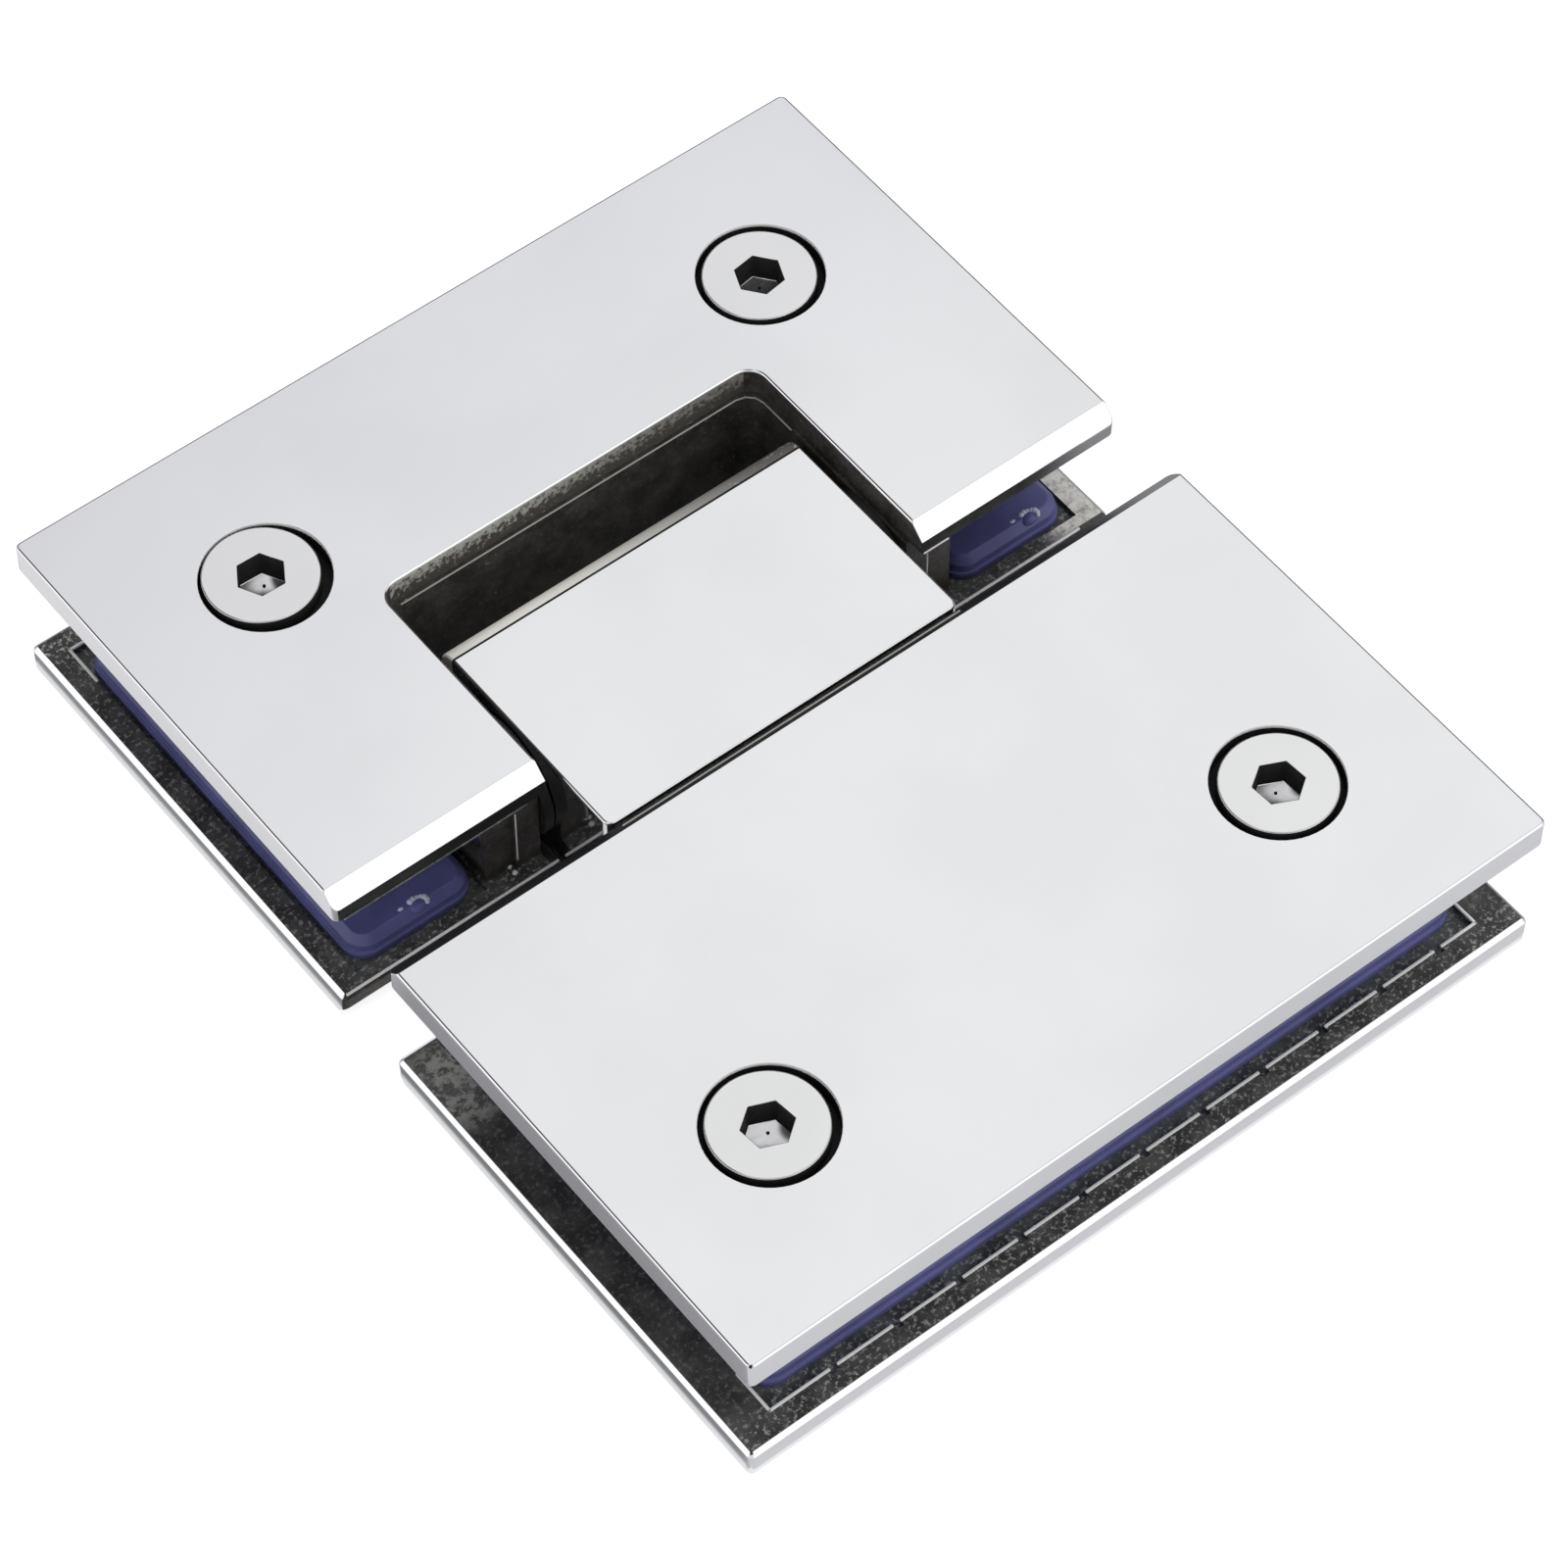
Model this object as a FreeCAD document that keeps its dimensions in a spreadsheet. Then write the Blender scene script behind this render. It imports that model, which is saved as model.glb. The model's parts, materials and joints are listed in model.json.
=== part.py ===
import FreeCAD, Part
import os
import re
import Sketcher
from FreeCAD import Placement, Rotation, Vector

# Glass-to-glass door hinge, lying open and flat with no glass fitted.
# Millimetres. The pin's axis runs along X, the notched leaf lies towards +Y and the
# plain leaf towards -Y, and the outer faces of the back plates rest on Z = 0.

DIMENSIONS = {
    # both leaves
    "leaf_length": 90,
    "far_edge_y": 55,
    "notched_near_y": 4.5,
    "plain_near_y": 3.5,
    "total_height": 19,
    "plate_thickness": 3.5,
    "front_corner": 0.7,
    "back_corner": 0.6,
    "front_chamfer": 0.2,
    "back_chamfer": 0.45,
    "screw_spacing": 58,
    "notched_screw_y": 38.2,
    "plain_screw_y": -37,
    # notch of the notched leaf, with the rim wall around it
    "notch_width": 43.4,
    "notch_depth": 25.5,
    "notch_corner": 2,
    "notched_bevel": 1.7,
    "plain_bevel": 1.45,
    "rim_inset": 0.3,
    "rim_thickness": 2.6,
    "rim_setback": 1.9,
    "lug_thickness": 5.8,
    "lug_setback": 0.5,
    "lug_back_y": 17.6,
    # seat and gasket of each plate
    "notched_seat_margin": 2.6,
    "plain_seat_margin": 4.2,
    "seat_front_margin": 2.7,
    "seat_bridge_margin": 4.2,
    "seat_near_y": 6.2,
    "seat_arm": 27.6,
    "seat_depth": 0.6,
    "island_radius": 7,
    "gasket_play": 0.8,
    "gasket_front_play": 1.9,
    "gasket_proud": 2,
    "gasket_corner": 2.2,
    "gasket_edge": 0.8,
    "tooth_gap": 1,
    "tooth_gap_depth": 0.5,
    "tooth_pitch": 7,
    "tooth_count": 11,
    "tooth_shift": 1.2,
    # clamp screws, their posts and sleeves
    "thread_radius": 3,
    "clearance_radius": 3.2,
    "static_play": 0.03,
    "counterbore_radius": 6.25,
    "counterbore_depth": 1.9,
    "notched_left_bore_x": 0.15,
    "notched_left_bore_y": -0.5,
    "notched_right_bore_x": 0.12,
    "notched_right_bore_y": 0,
    "plain_left_bore_x": 0.1,
    "plain_left_bore_y": -0.15,
    "plain_right_bore_x": -0.05,
    "plain_right_bore_y": 0.05,
    "head_radius": 5.55,
    "head_height": 1.9,
    "head_chamfer": 0.12,
    "socket_flats": 4.25,
    "socket_depth": 3,
    "screw_tip_z": 4.5,
    "post_radius": 4.5,
    "post_top_z": 12,
    "post_hole_z": 2,
    "sleeve_radius": 6.5,
    "sleeve_bore": 4.65,
    "sleeve_play": 0.1,
    # pin, bushes and washers
    "pin_y": 12,
    "pin_radius": 4.5,
    "pin_half_length": 27,
    "pin_flat": 3.9,
    "flat_half_length": 11.5,
    "pin_chamfer": 0.4,
    "lock_flat": 2.6,
    "lock_x": 24.1,
    "lock_radius": 2,
    "lock_flat_width": 4.4,
    "lock_socket_flats": 2,
    "lock_socket_depth": 1.5,
    "running_play": 0.05,
    "bush_radius": 6,
    "bush_length": 8,
    "washer_radius": 6.5,
    "washer_thickness": 1.0,
    # knuckle block
    "knuckle_width": 40.4,
    "knuckle_height": 14.8,
    "knuckle_near_y": -2.8,
    "knuckle_far_y": 22.8,
    "knuckle_edge": 2.2,
    "knuckle_near_corner": 1,
    "knuckle_soft_edge": 0.3,
    "tang_width": 38,
    "tang_back_y": -20,
    "chamber_radius": 4.8,
    # detent shoe with its springs and screws
    "shoe_width": 22.6,
    "shoe_height": 8,
    "shoe_play": 0.1,
    "shoe_face_y": 7.45,
    "shoe_back_y": 2,
    "shoe_chamfer": 0.6,
    "chamber_back_y": 1.8,
    "spring_x": 4.6,
    "spring_hole_radius": 2.8,
    "coil_radius": 2.2,
    "wire_radius": 0.4,
    "spring_pitch": 2.1,
    "adjuster_radius": 3,
    "adjuster_length": 7,
    "adjuster_inset": 0.5,
    "adjuster_socket_flats": 3,
    "adjuster_socket_depth": 3,
    # screws that hold the tang to the plain back plate
    "fixing_x": 13.2,
    "fixing_y": -12,
    "fixing_radius": 2.5,
    "fixing_clearance": 2.7,
    "fixing_head_radius": 4.2,
    "fixing_head_height": 5,
    "fixing_recess_radius": 4.4,
    "fixing_recess_depth": 5.3,
    "fixing_tip_z": 1,
    "fixing_socket_flats": 4,
    "fixing_socket_depth": 2.5,
}

# How far each clamp screw's socket happens to be turned, in degrees
SOCKET_TURNS = {
    "notched_clamp_screw_left": -2,
    "notched_clamp_screw_right": 7.9,
    "plain_clamp_screw_left": 36.3,
    "plain_clamp_screw_right": 33.8,
}
SIDES = (("left", "-"), ("right", "+"))
TOLERANCE = 0.001

# Formulas that several pieces share
HALF_LENGTH = "leaf_length / 2"
AXIS_Z = "total_height / 2"
INNER_TOP = "(total_height - plate_thickness)"
NOTCH_END = "(notched_near_y + notch_depth)"
RIM_FRONT = "(notched_near_y + rim_setback)"
RIM_HALF = "(notch_width / 2 - rim_inset)"
RIM_END = "(notched_near_y + notch_depth - rim_inset)"
CLEAR_HEIGHT = "(total_height - 2 * plate_thickness)"

doc = FreeCAD.newDocument("glass_door_hinge")
sheet = doc.addObject("Spreadsheet::Sheet", "Dimensions")
for row, (alias, number) in enumerate(DIMENSIONS.items(), 1):
    sheet.set(f"A{row}", alias)
    sheet.set(f"B{row}", str(number))
    sheet.setAlias(f"B{row}", alias)
doc.recompute()
parts = []


def bound(formula):
    """Turn a formula of the sheet's aliases into an expression on its cells."""
    def cell(word):
        return "Dimensions." + word.group() if word.group() in DIMENSIONS else word.group()
    return re.sub(r"[a-z_]+", cell, formula)


def new_body(label):
    """Start a sub-part of its own."""
    body = doc.addObject("PartDesign::Body", label)
    body.Label = label
    parts.append(body)
    return body


def place(body, x="0", y="0", z="0", axis=Vector(0, 0, 1), angle=0):
    """Put a sub-part in its place in the hinge, turned about one axis first."""
    body.Placement = Placement(Vector(), Rotation(axis, angle))
    for name, formula in zip("xyz", (x, y, z)):
        body.setExpression(f"Placement.Base.{name}", bound(formula))


def sketch_on(body, height="0", plane="XY_Plane"):
    """Add a sketch parallel to one of the body's origin planes."""
    sketch = body.newObject("Sketcher::SketchObject", f"{body.Name}_sketch")
    support = [item for item in body.Origin.OriginFeatures if item.Role == plane][0]
    sketch.AttachmentSupport = [(support, "")]
    sketch.MapMode = "FlatFace"
    sketch.setExpression("AttachmentOffset.Base.z", bound(height))
    return sketch


def bind(sketch, kind, geometry, formula, *point):
    """Add one dimension to a sketch and bind it to the sheet."""
    start = (-1, 1) if kind.startswith("Distance") else ()
    index = sketch.addConstraint(Sketcher.Constraint(kind, *start, geometry, *point, 1.0))
    name = f"size_{index}"
    sketch.renameConstraint(index, name)
    sketch.setExpression(f"Constraints.{name}", bound(formula))


def outline(sketch, *corners):
    """Draw a closed outline whose corners are given as formulas."""
    count = len(corners)
    first = sketch.GeometryCount
    seeds = [Rotation(Vector(0, 0, 1), 360 * i / count).multVec(Vector(9, 0, 0)) for i in range(count)]
    for i in range(count):
        sketch.addGeometry(Part.LineSegment(seeds[i], seeds[(i + 1) % count]), False)
    for i in range(count):
        following = first + (i + 1) % count
        sketch.addConstraint(Sketcher.Constraint("Coincident", first + i, 2, following, 1))
    for i, (across, along) in enumerate(corners):
        bind(sketch, "DistanceX", first + i, across, 1)
        bind(sketch, "DistanceY", first + i, along, 1)


def rectangle(sketch, left, right, low, high):
    """Draw a rectangle from its four sides."""
    outline(sketch, (left, low), (right, low), (right, high), (left, high))


def circle(sketch, across, along, radius):
    """Draw a circle from its centre and radius."""
    index = sketch.addGeometry(Part.Circle(Vector(1, 1, 0), Vector(0, 0, 1), 1), False)
    bind(sketch, "DistanceX", index, across, 3)
    bind(sketch, "DistanceY", index, along, 3)
    bind(sketch, "Radius", index, radius)


def hexagon(sketch, flats):
    """Draw a hexagon round the origin with two corners on the X axis."""
    tip = f"{flats} / sqrt(3)"
    side = f"{flats} / 2"
    inner = f"{flats} / sqrt(12)"
    outline(sketch, (tip, "0"), (inner, side), (f"-{inner}", side), (f"-{tip}", "0"),
            (f"-{inner}", f"-{side}"), (inner, f"-{side}"))


def solid_step(body, kind, sketch, length, both_ways=False, turned=False):
    """Pad or pocket a sketch, and make sure that it changes the volume."""
    before = body.Shape.Volume if body.Tip else 0
    feature = body.newObject(f"PartDesign::{kind}", f"{body.Name}_{kind}")
    feature.Profile = sketch
    feature.setExpression("Length", bound(length))
    feature.SideType = "Symmetric" if both_ways else "One side"
    feature.Reversed = turned
    sketch.Visibility = False
    doc.recompute()
    change = body.Shape.Volume - before
    if (change <= TOLERANCE) if kind == "Pad" else (change >= -TOLERANCE):
        raise ValueError(f"{feature.Name} changes the volume by {change}")
    return feature


def pad(body, sketch, length, **ways):
    return solid_step(body, "Pad", sketch, length, **ways)


def pocket(body, sketch, length, **ways):
    return solid_step(body, "Pocket", sketch, length, **ways)


def edges_where(body, test):
    """Name the body's edges whose box and edge pass the test."""
    return [f"Edge{i}" for i, edge in enumerate(body.Shape.Edges, 1) if test(edge.BoundBox, edge)]


def dress(body, kind, size, test):
    """Fillet or chamfer the edges that pass the test."""
    doc.recompute()
    names = edges_where(body, test)
    if not names:
        raise ValueError(f"{body.Name} has no edge for its {kind}")
    base = body.Tip
    feature = body.newObject(f"PartDesign::{kind}", f"{body.Name}_{kind}")
    feature.Base = (base, names)
    feature.setExpression("Radius" if kind == "Fillet" else "Size", bound(size))
    doc.recompute()
    return feature


def near(a, b):
    return abs(a - b) < TOLERANCE


def value(alias):
    """Read a driving dimension where an edge has to be found by its place."""
    return getattr(sheet, alias)


def flat_at(box, height):
    return near(box.ZMin, height) and near(box.ZMax, height)


def upright(box):
    return near(box.XLength, 0) and near(box.YLength, 0) and box.ZLength > 1


def holes_at(body, height, depth, radius, leaf):
    """Sink one pair of round holes at a leaf's screw places."""
    sketch = sketch_on(body, height)
    for _, sign in SIDES:
        circle(sketch, f"{sign}screw_spacing / 2", f"{leaf}_screw_y", radius)
    pocket(body, sketch, depth)


def leaf_outline(sketch, leaf, face):
    """A leaf's plan. The notch is open towards the plain leaf, and tighter in the back plate."""
    if leaf == "plain":
        rectangle(sketch, f"-{HALF_LENGTH}", HALF_LENGTH, "-far_edge_y", "-plain_near_y")
        return
    half, end = ("(notch_width / 2)", NOTCH_END) if face == "front" else (RIM_HALF, RIM_END)
    near_y, far_y = "notched_near_y", "far_edge_y"
    outline(sketch, (f"-{HALF_LENGTH}", near_y), (f"-{half}", near_y), (f"-{half}", end), (half, end),
            (half, near_y), (HALF_LENGTH, near_y), (HALF_LENGTH, far_y), (f"-{HALF_LENGTH}", far_y))


def round_corners(body, leaf, face):
    """Round the upright edges of a plate: its four corners, then the notch's."""
    end_x = value("leaf_length") / 2
    dress(body, "Fillet", f"{face}_corner", lambda box, edge: upright(box) and near(abs(box.XMin), end_x))
    if leaf == "notched":
        end_y = value("notched_near_y") + value("notch_depth")
        if face == "back":
            end_y -= value("rim_inset")
        dress(body, "Fillet", "notch_corner", lambda box, edge: upright(box) and near(box.YMin, end_y))


def long_bevel(body, leaf, face):
    """Cut the sloping bevel along the outer edge that faces the other leaf."""
    size, near_y = f"{leaf}_bevel", f"{leaf}_near_y"
    sign = "" if leaf == "notched" else "-"
    outer, inward = ("total_height", "-") if face == "front" else ("0", "+")
    sketch = sketch_on(body, plane="YZ_Plane")
    outline(sketch, (f"{sign}({near_y} + {size})", outer), (f"{sign}({near_y} - {size})", outer),
            (f"{sign}({near_y} - {size})", f"{outer} {inward} {size}"),
            (f"{sign}{near_y}", f"{outer} {inward} {size}"))
    pocket(body, sketch, "2 * leaf_length", both_ways=True)


def break_edges(body, leaf, face):
    """Chamfer a plate's edges, apart from the one that has the long bevel."""
    outer, inner = 0, value("plate_thickness")
    if face == "front":
        outer = value("total_height")
        inner = outer - value("plate_thickness")
    near_y, far_y = value(f"{leaf}_near_y"), value("far_edge_y")
    line = (near_y + value(f"{leaf}_bevel")) * (1 if leaf == "notched" else -1)
    corner_x = value("leaf_length") / 2 - value(f"{face}_corner")

    def outer_edge(box, edge):
        on_bevel = near(box.YMin, line) and near(box.YMax, line)
        return flat_at(box, outer) and not on_bevel

    def inner_edge(box, edge):
        nearest, furthest = sorted((abs(box.YMin), abs(box.YMax)))
        at_side = max(box.XMax, -box.XMin) > corner_x + TOLERANCE
        around = at_side or near(nearest, far_y) or near(furthest, near_y)
        return flat_at(box, inner) and (face == "front" or around)

    dress(body, "Chamfer", f"{face}_chamfer",
          lambda box, edge: outer_edge(box, edge) or inner_edge(box, edge))


def seat_outline(sketch, leaf, play="0", front_play="0"):
    """The plan of a plate's seat, or of its gasket when play is taken off all round."""
    side = f"(leaf_length / 2 - {leaf}_seat_margin - {play})"
    arm = f"(seat_arm + {play})"
    front = f"(far_edge_y - seat_front_margin - {front_play})"
    back = f"(seat_near_y + {play})"
    if leaf == "notched":
        bridge = f"({NOTCH_END} + seat_bridge_margin + {play})"
    else:
        front, back = f"-{front}", f"-{back}"
        bridge = f"(tang_back_y - seat_bridge_margin - {play})"
    outline(sketch, (f"-{side}", front), (side, front), (side, back), (arm, back),
            (arm, bridge), (f"-{arm}", bridge), (f"-{arm}", back), (f"-{side}", back))


def gasket_seat(body, leaf, face):
    """Sink the gasket's seat into the inner face, with islands left round the screws."""
    height = "plate_thickness" if face == "back" else INNER_TOP
    sketch = sketch_on(body, height)
    seat_outline(sketch, leaf)
    pocket(body, sketch, "seat_depth", turned=face == "front")
    tooth_gaps(body, leaf, face, height)
    islands = sketch_on(body, height)
    for _, sign in SIDES:
        circle(islands, f"{sign}screw_spacing / 2", f"{leaf}_screw_y", "island_radius")
    pad(body, islands, "seat_depth", turned=face == "back")


def tooth_gaps(body, leaf, face, height):
    """Repeat a small gap along the seat's outer edge, which keys the gasket."""
    edge = "(far_edge_y - seat_front_margin)"
    sign = "" if leaf == "notched" else "-"
    start = "tooth_shift - (tooth_count - 1) * tooth_pitch / 2"
    sketch = sketch_on(body, height)
    rectangle(sketch, f"{start} - tooth_gap / 2", f"{start} + tooth_gap / 2",
              f"{sign}({edge} - tooth_gap_depth)", f"{sign}({edge} + tooth_gap_depth)")
    gap = pocket(body, sketch, "seat_depth", turned=face == "front")
    row = body.newObject("PartDesign::LinearPattern", f"{body.Name}_teeth")
    row.Originals = [gap]
    row.Direction = (sketch, ["H_Axis"])
    row.setExpression("Length", bound("(tooth_count - 1) * tooth_pitch"))
    row.setExpression("Occurrences", bound("tooth_count"))
    before = body.Shape.Volume
    body.Tip = row
    doc.recompute()
    if body.Shape.Volume >= before:
        raise ValueError(f"{row.Name} repeats nothing")


def front_plate(leaf):
    """The cover plate, with each counterbore a little off the centre of its screw's head."""
    body = new_body(f"{leaf}_front_plate")
    sketch = sketch_on(body, INNER_TOP)
    leaf_outline(sketch, leaf, "front")
    pad(body, sketch, "plate_thickness")
    round_corners(body, leaf, "front")
    long_bevel(body, leaf, "front")
    break_edges(body, leaf, "front")
    gasket_seat(body, leaf, "front")
    bores = sketch_on(body, "total_height")
    for side, sign in SIDES:
        circle(bores, f"{sign}screw_spacing / 2 + {leaf}_{side}_bore_x",
               f"{leaf}_screw_y + {leaf}_{side}_bore_y", "counterbore_radius")
    pocket(body, bores, "counterbore_depth")
    holes_at(body, "total_height", "plate_thickness", "clearance_radius", leaf)


def back_plate(leaf):
    """The back plate, with the threaded posts that take the clamp screws."""
    body = new_body(f"{leaf}_back_plate")
    sketch = sketch_on(body)
    leaf_outline(sketch, leaf, "back")
    pad(body, sketch, "plate_thickness")
    if leaf == "notched":
        rim_wall(body)
    round_corners(body, leaf, "back")
    long_bevel(body, leaf, "back")
    break_edges(body, leaf, "back")
    gasket_seat(body, leaf, "back")
    posts = sketch_on(body, "plate_thickness / 2")
    for _, sign in SIDES:
        circle(posts, f"{sign}screw_spacing / 2", f"{leaf}_screw_y", "post_radius")
    pad(body, posts, "post_top_z - plate_thickness / 2")
    holes_at(body, "post_top_z", "post_top_z - post_hole_z", "thread_radius + static_play", leaf)
    return body


def rim_wall(body):
    """The wall round the notch, in one piece with the back plate, and its pin lugs."""
    base = "plate_thickness / 2"
    rise = f"{INNER_TOP} - {base}"
    inner, outer = RIM_HALF, f"({RIM_HALF} + rim_thickness)"
    back = f"({RIM_END} + rim_thickness)"
    wall = sketch_on(body, base)
    outline(wall, (f"-{outer}", RIM_FRONT), (f"-{inner}", RIM_FRONT), (f"-{inner}", RIM_END),
            (inner, RIM_END), (inner, RIM_FRONT), (outer, RIM_FRONT), (outer, back), (f"-{outer}", back))
    pad(body, wall, rise)
    reach = f"({RIM_HALF} + lug_thickness)"
    for _, sign in SIDES:
        lug = sketch_on(body, base)
        ends = (f"{sign}{inner}", f"{sign}{reach}")
        rectangle(lug, *ends, f"{RIM_FRONT} + lug_setback", "lug_back_y")
        pad(body, lug, rise)


def pin_holes(body):
    """Bore both lugs for the pin, and drill the lock screws' holes to it from behind."""
    bore = sketch_on(body, plane="YZ_Plane")
    circle(bore, "pin_y", AXIS_Z, "pin_radius + static_play")
    pocket(body, bore, "leaf_length", both_ways=True)
    locks = sketch_on(body, "-pin_y", plane="XZ_Plane")
    for _, sign in SIDES:
        circle(locks, f"{sign}lock_x", AXIS_Z, "lock_radius + static_play")
    pocket(body, locks, "lug_back_y - pin_y + static_play")


def gasket(leaf, face):
    """One rubber gasket, seated in its plate and standing proud towards the glass."""
    body = new_body(f"{leaf}_{face}_gasket")
    start = "plate_thickness - seat_depth" if face == "back" else f"{INNER_TOP} - gasket_proud"
    sketch = sketch_on(body, start)
    seat_outline(sketch, leaf, "gasket_play", "gasket_front_play")
    thickness = "(gasket_proud + seat_depth)"
    pad(body, sketch, thickness)
    dress(body, "Fillet", "gasket_corner", lambda box, edge: upright(box))
    low, high = body.Shape.BoundBox.ZMin, body.Shape.BoundBox.ZMax
    glass_side = high if face == "back" else low
    dress(body, "Chamfer", "gasket_edge", lambda box, edge: flat_at(box, glass_side))
    holes_at(body, f"{start} + {thickness}", thickness, "island_radius + gasket_play / 2", leaf)


def turned_screw(label, steps, flats, depth):
    """A screw of round steps, each a radius and a length, with a hexagon socket."""
    body = new_body(label)
    level = "0"
    for radius, length in steps:
        sketch = sketch_on(body, level)
        circle(sketch, "0", "0", radius)
        pad(body, sketch, length, turned=True)
        level = f"{level} - ({length})"
    socket = sketch_on(body)
    hexagon(socket, flats)
    pocket(body, socket, depth)
    return body


def clamp_screw(leaf, side, sign):
    """A flat-headed clamp screw, its head flush with the cover plate's face."""
    head_top = "(total_height - counterbore_depth + head_height)"
    shank = f"{head_top} - head_height - screw_tip_z"
    label = f"{leaf}_clamp_screw_{side}"
    body = turned_screw(label, (("head_radius", "head_height"), ("thread_radius", shank)),
                        "socket_flats", "socket_depth")
    rim = value("head_radius")
    dress(body, "Chamfer", "head_chamfer", lambda box, edge: flat_at(box, 0) and near(box.XMax, rim))
    place(body, f"{sign}screw_spacing / 2", f"{leaf}_screw_y", head_top, angle=SOCKET_TURNS[label])


def ring(label, radius, bore, length):
    """A plain round sleeve along the local Z axis."""
    body = new_body(label)
    sketch = sketch_on(body)
    circle(sketch, "0", "0", radius)
    circle(sketch, "0", "0", bore)
    pad(body, sketch, length)
    return body


def glass_sleeve(leaf, side, sign):
    """The nylon sleeve that keeps the glass off the post and the screw."""
    length = f"{CLEAR_HEIGHT} - 2 * sleeve_play"
    body = ring(f"{leaf}_glass_sleeve_{side}", "sleeve_radius", "sleeve_bore", length)
    place(body, f"{sign}screw_spacing / 2", f"{leaf}_screw_y", "plate_thickness + sleeve_play")


def pivot_pin():
    """The pin: four flats at its middle for the detent, and a flat in each lug."""
    body = new_body("pivot_pin")
    rod = sketch_on(body)
    circle(rod, "0", "0", "pin_radius")
    pad(body, rod, "2 * pin_half_length", both_ways=True)
    flat = sketch_on(body, "flat_half_length")
    rectangle(flat, "-2 * pin_radius", "2 * pin_radius", "-2 * pin_radius", "-pin_flat")
    cut = pocket(body, flat, "2 * flat_half_length")
    flats = body.newObject("PartDesign::PolarPattern", "pivot_pin_flats")
    flats.Originals = [cut]
    flats.Axis = (flat, ["N_Axis"])
    flats.Angle = 360
    flats.Occurrences = 4
    before = body.Shape.Volume
    body.Tip = flats
    doc.recompute()
    if body.Shape.Volume >= before:
        raise ValueError("the pin's flats are not repeated")
    for _, sign in SIDES:
        lock = sketch_on(body, f"{sign}lock_x + lock_flat_width / 2")
        rectangle(lock, "-2 * pin_radius", "2 * pin_radius", "lock_flat", "2 * pin_radius")
        pocket(body, lock, "lock_flat_width")
    half = value("pin_half_length")
    dress(body, "Chamfer", "pin_chamfer", lambda box, edge: flat_at(box, half) or flat_at(box, -half))
    place(body, "0", "pin_y", AXIS_Z, axis=Vector(0, 1, 0), angle=90)


def pin_lock_screw(side, sign):
    """The socket set screw in the back of a lug, which bears on the pin's flat."""
    length = "lug_back_y - (pin_y + lock_flat) - static_play"
    body = turned_screw(f"pin_lock_screw_{side}", (("lock_radius", length),),
                        "lock_socket_flats", "lock_socket_depth")
    place(body, f"{sign}lock_x", "lug_back_y", AXIS_Z, axis=Vector(1, 0, 0), angle=-90)


def pivot_bush(side, sign):
    """The bush pressed into one end of the knuckle block."""
    body = ring(f"pivot_bush_{side}", "bush_radius", "pin_radius + running_play", "bush_length")
    start = "-knuckle_width / 2" if side == "left" else "knuckle_width / 2 - bush_length"
    place(body, start, "pin_y", AXIS_Z, axis=Vector(0, 1, 0), angle=90)


def thrust_washer(side, sign):
    """The washer that fills the gap between the knuckle block and a lug."""
    body = ring(f"thrust_washer_{side}", "washer_radius", "pin_radius + static_play", "washer_thickness")
    middle = f"(knuckle_width / 2 + {RIM_HALF}) / 2"
    place(body, f"{sign}({middle}) - washer_thickness / 2", "pin_y", AXIS_Z, axis=Vector(0, 1, 0), angle=90)


def knuckle_block():
    """The block that turns in the notch, with the tang that the plain leaf clamps."""
    body = new_body("knuckle_block")
    low, high = f"{AXIS_Z} - knuckle_height / 2", f"{AXIS_Z} + knuckle_height / 2"
    profile = sketch_on(body, plane="YZ_Plane")
    rectangle(profile, "knuckle_near_y", "knuckle_far_y", low, high)
    pad(body, profile, "knuckle_width", both_ways=True)
    far_y, near_y = value("knuckle_far_y"), value("knuckle_near_y")
    dress(body, "Fillet", "knuckle_edge",
          lambda box, edge: box.ZLength < 1 and near(box.YMin, far_y) and near(box.YMax, far_y))
    dress(body, "Fillet", "knuckle_near_corner", lambda box, edge: upright(box) and near(box.YMin, near_y))
    dress(body, "Fillet", "knuckle_soft_edge",
          lambda box, edge: near(box.ZLength, 0) and near(box.XLength, 0) and box.YLength > 1)
    tang = sketch_on(body, "plate_thickness")
    rectangle(tang, "-tang_width / 2", "tang_width / 2", "tang_back_y", "knuckle_near_y + knuckle_edge")
    pad(body, tang, CLEAR_HEIGHT)
    bores = sketch_on(body, plane="YZ_Plane")
    circle(bores, "pin_y", AXIS_Z, "chamber_radius")
    pocket(body, bores, "2 * knuckle_width", both_ways=True)
    for _, sign in SIDES:
        seat = sketch_on(body, f"{sign}(knuckle_width / 2 - bush_length / 2)", plane="YZ_Plane")
        circle(seat, "pin_y", AXIS_Z, "bush_radius + static_play")
        pocket(body, seat, "bush_length + 2 * static_play", both_ways=True)
    chamber = sketch_on(body, plane="YZ_Plane")
    rectangle(chamber, "chamber_back_y", "pin_y", f"{AXIS_Z} - shoe_height / 2 - shoe_play",
              f"{AXIS_Z} + shoe_height / 2 + shoe_play")
    pocket(body, chamber, "shoe_width + 2 * shoe_play", both_ways=True)
    for radius, depth in (("spring_hole_radius", "chamber_back_y - tang_back_y"),
                          ("adjuster_radius + static_play", "adjuster_length + adjuster_inset")):
        bore = sketch_on(body, "-tang_back_y", plane="XZ_Plane")
        for _, sign in SIDES:
            circle(bore, f"{sign}spring_x", AXIS_Z, radius)
        pocket(body, bore, depth)
    for radius, depth in (("fixing_clearance", "total_height"),
                          ("fixing_recess_radius", "fixing_recess_depth")):
        hole = sketch_on(body, INNER_TOP)
        for _, sign in SIDES:
            circle(hole, f"{sign}fixing_x", "fixing_y", radius)
        pocket(body, hole, depth)


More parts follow.
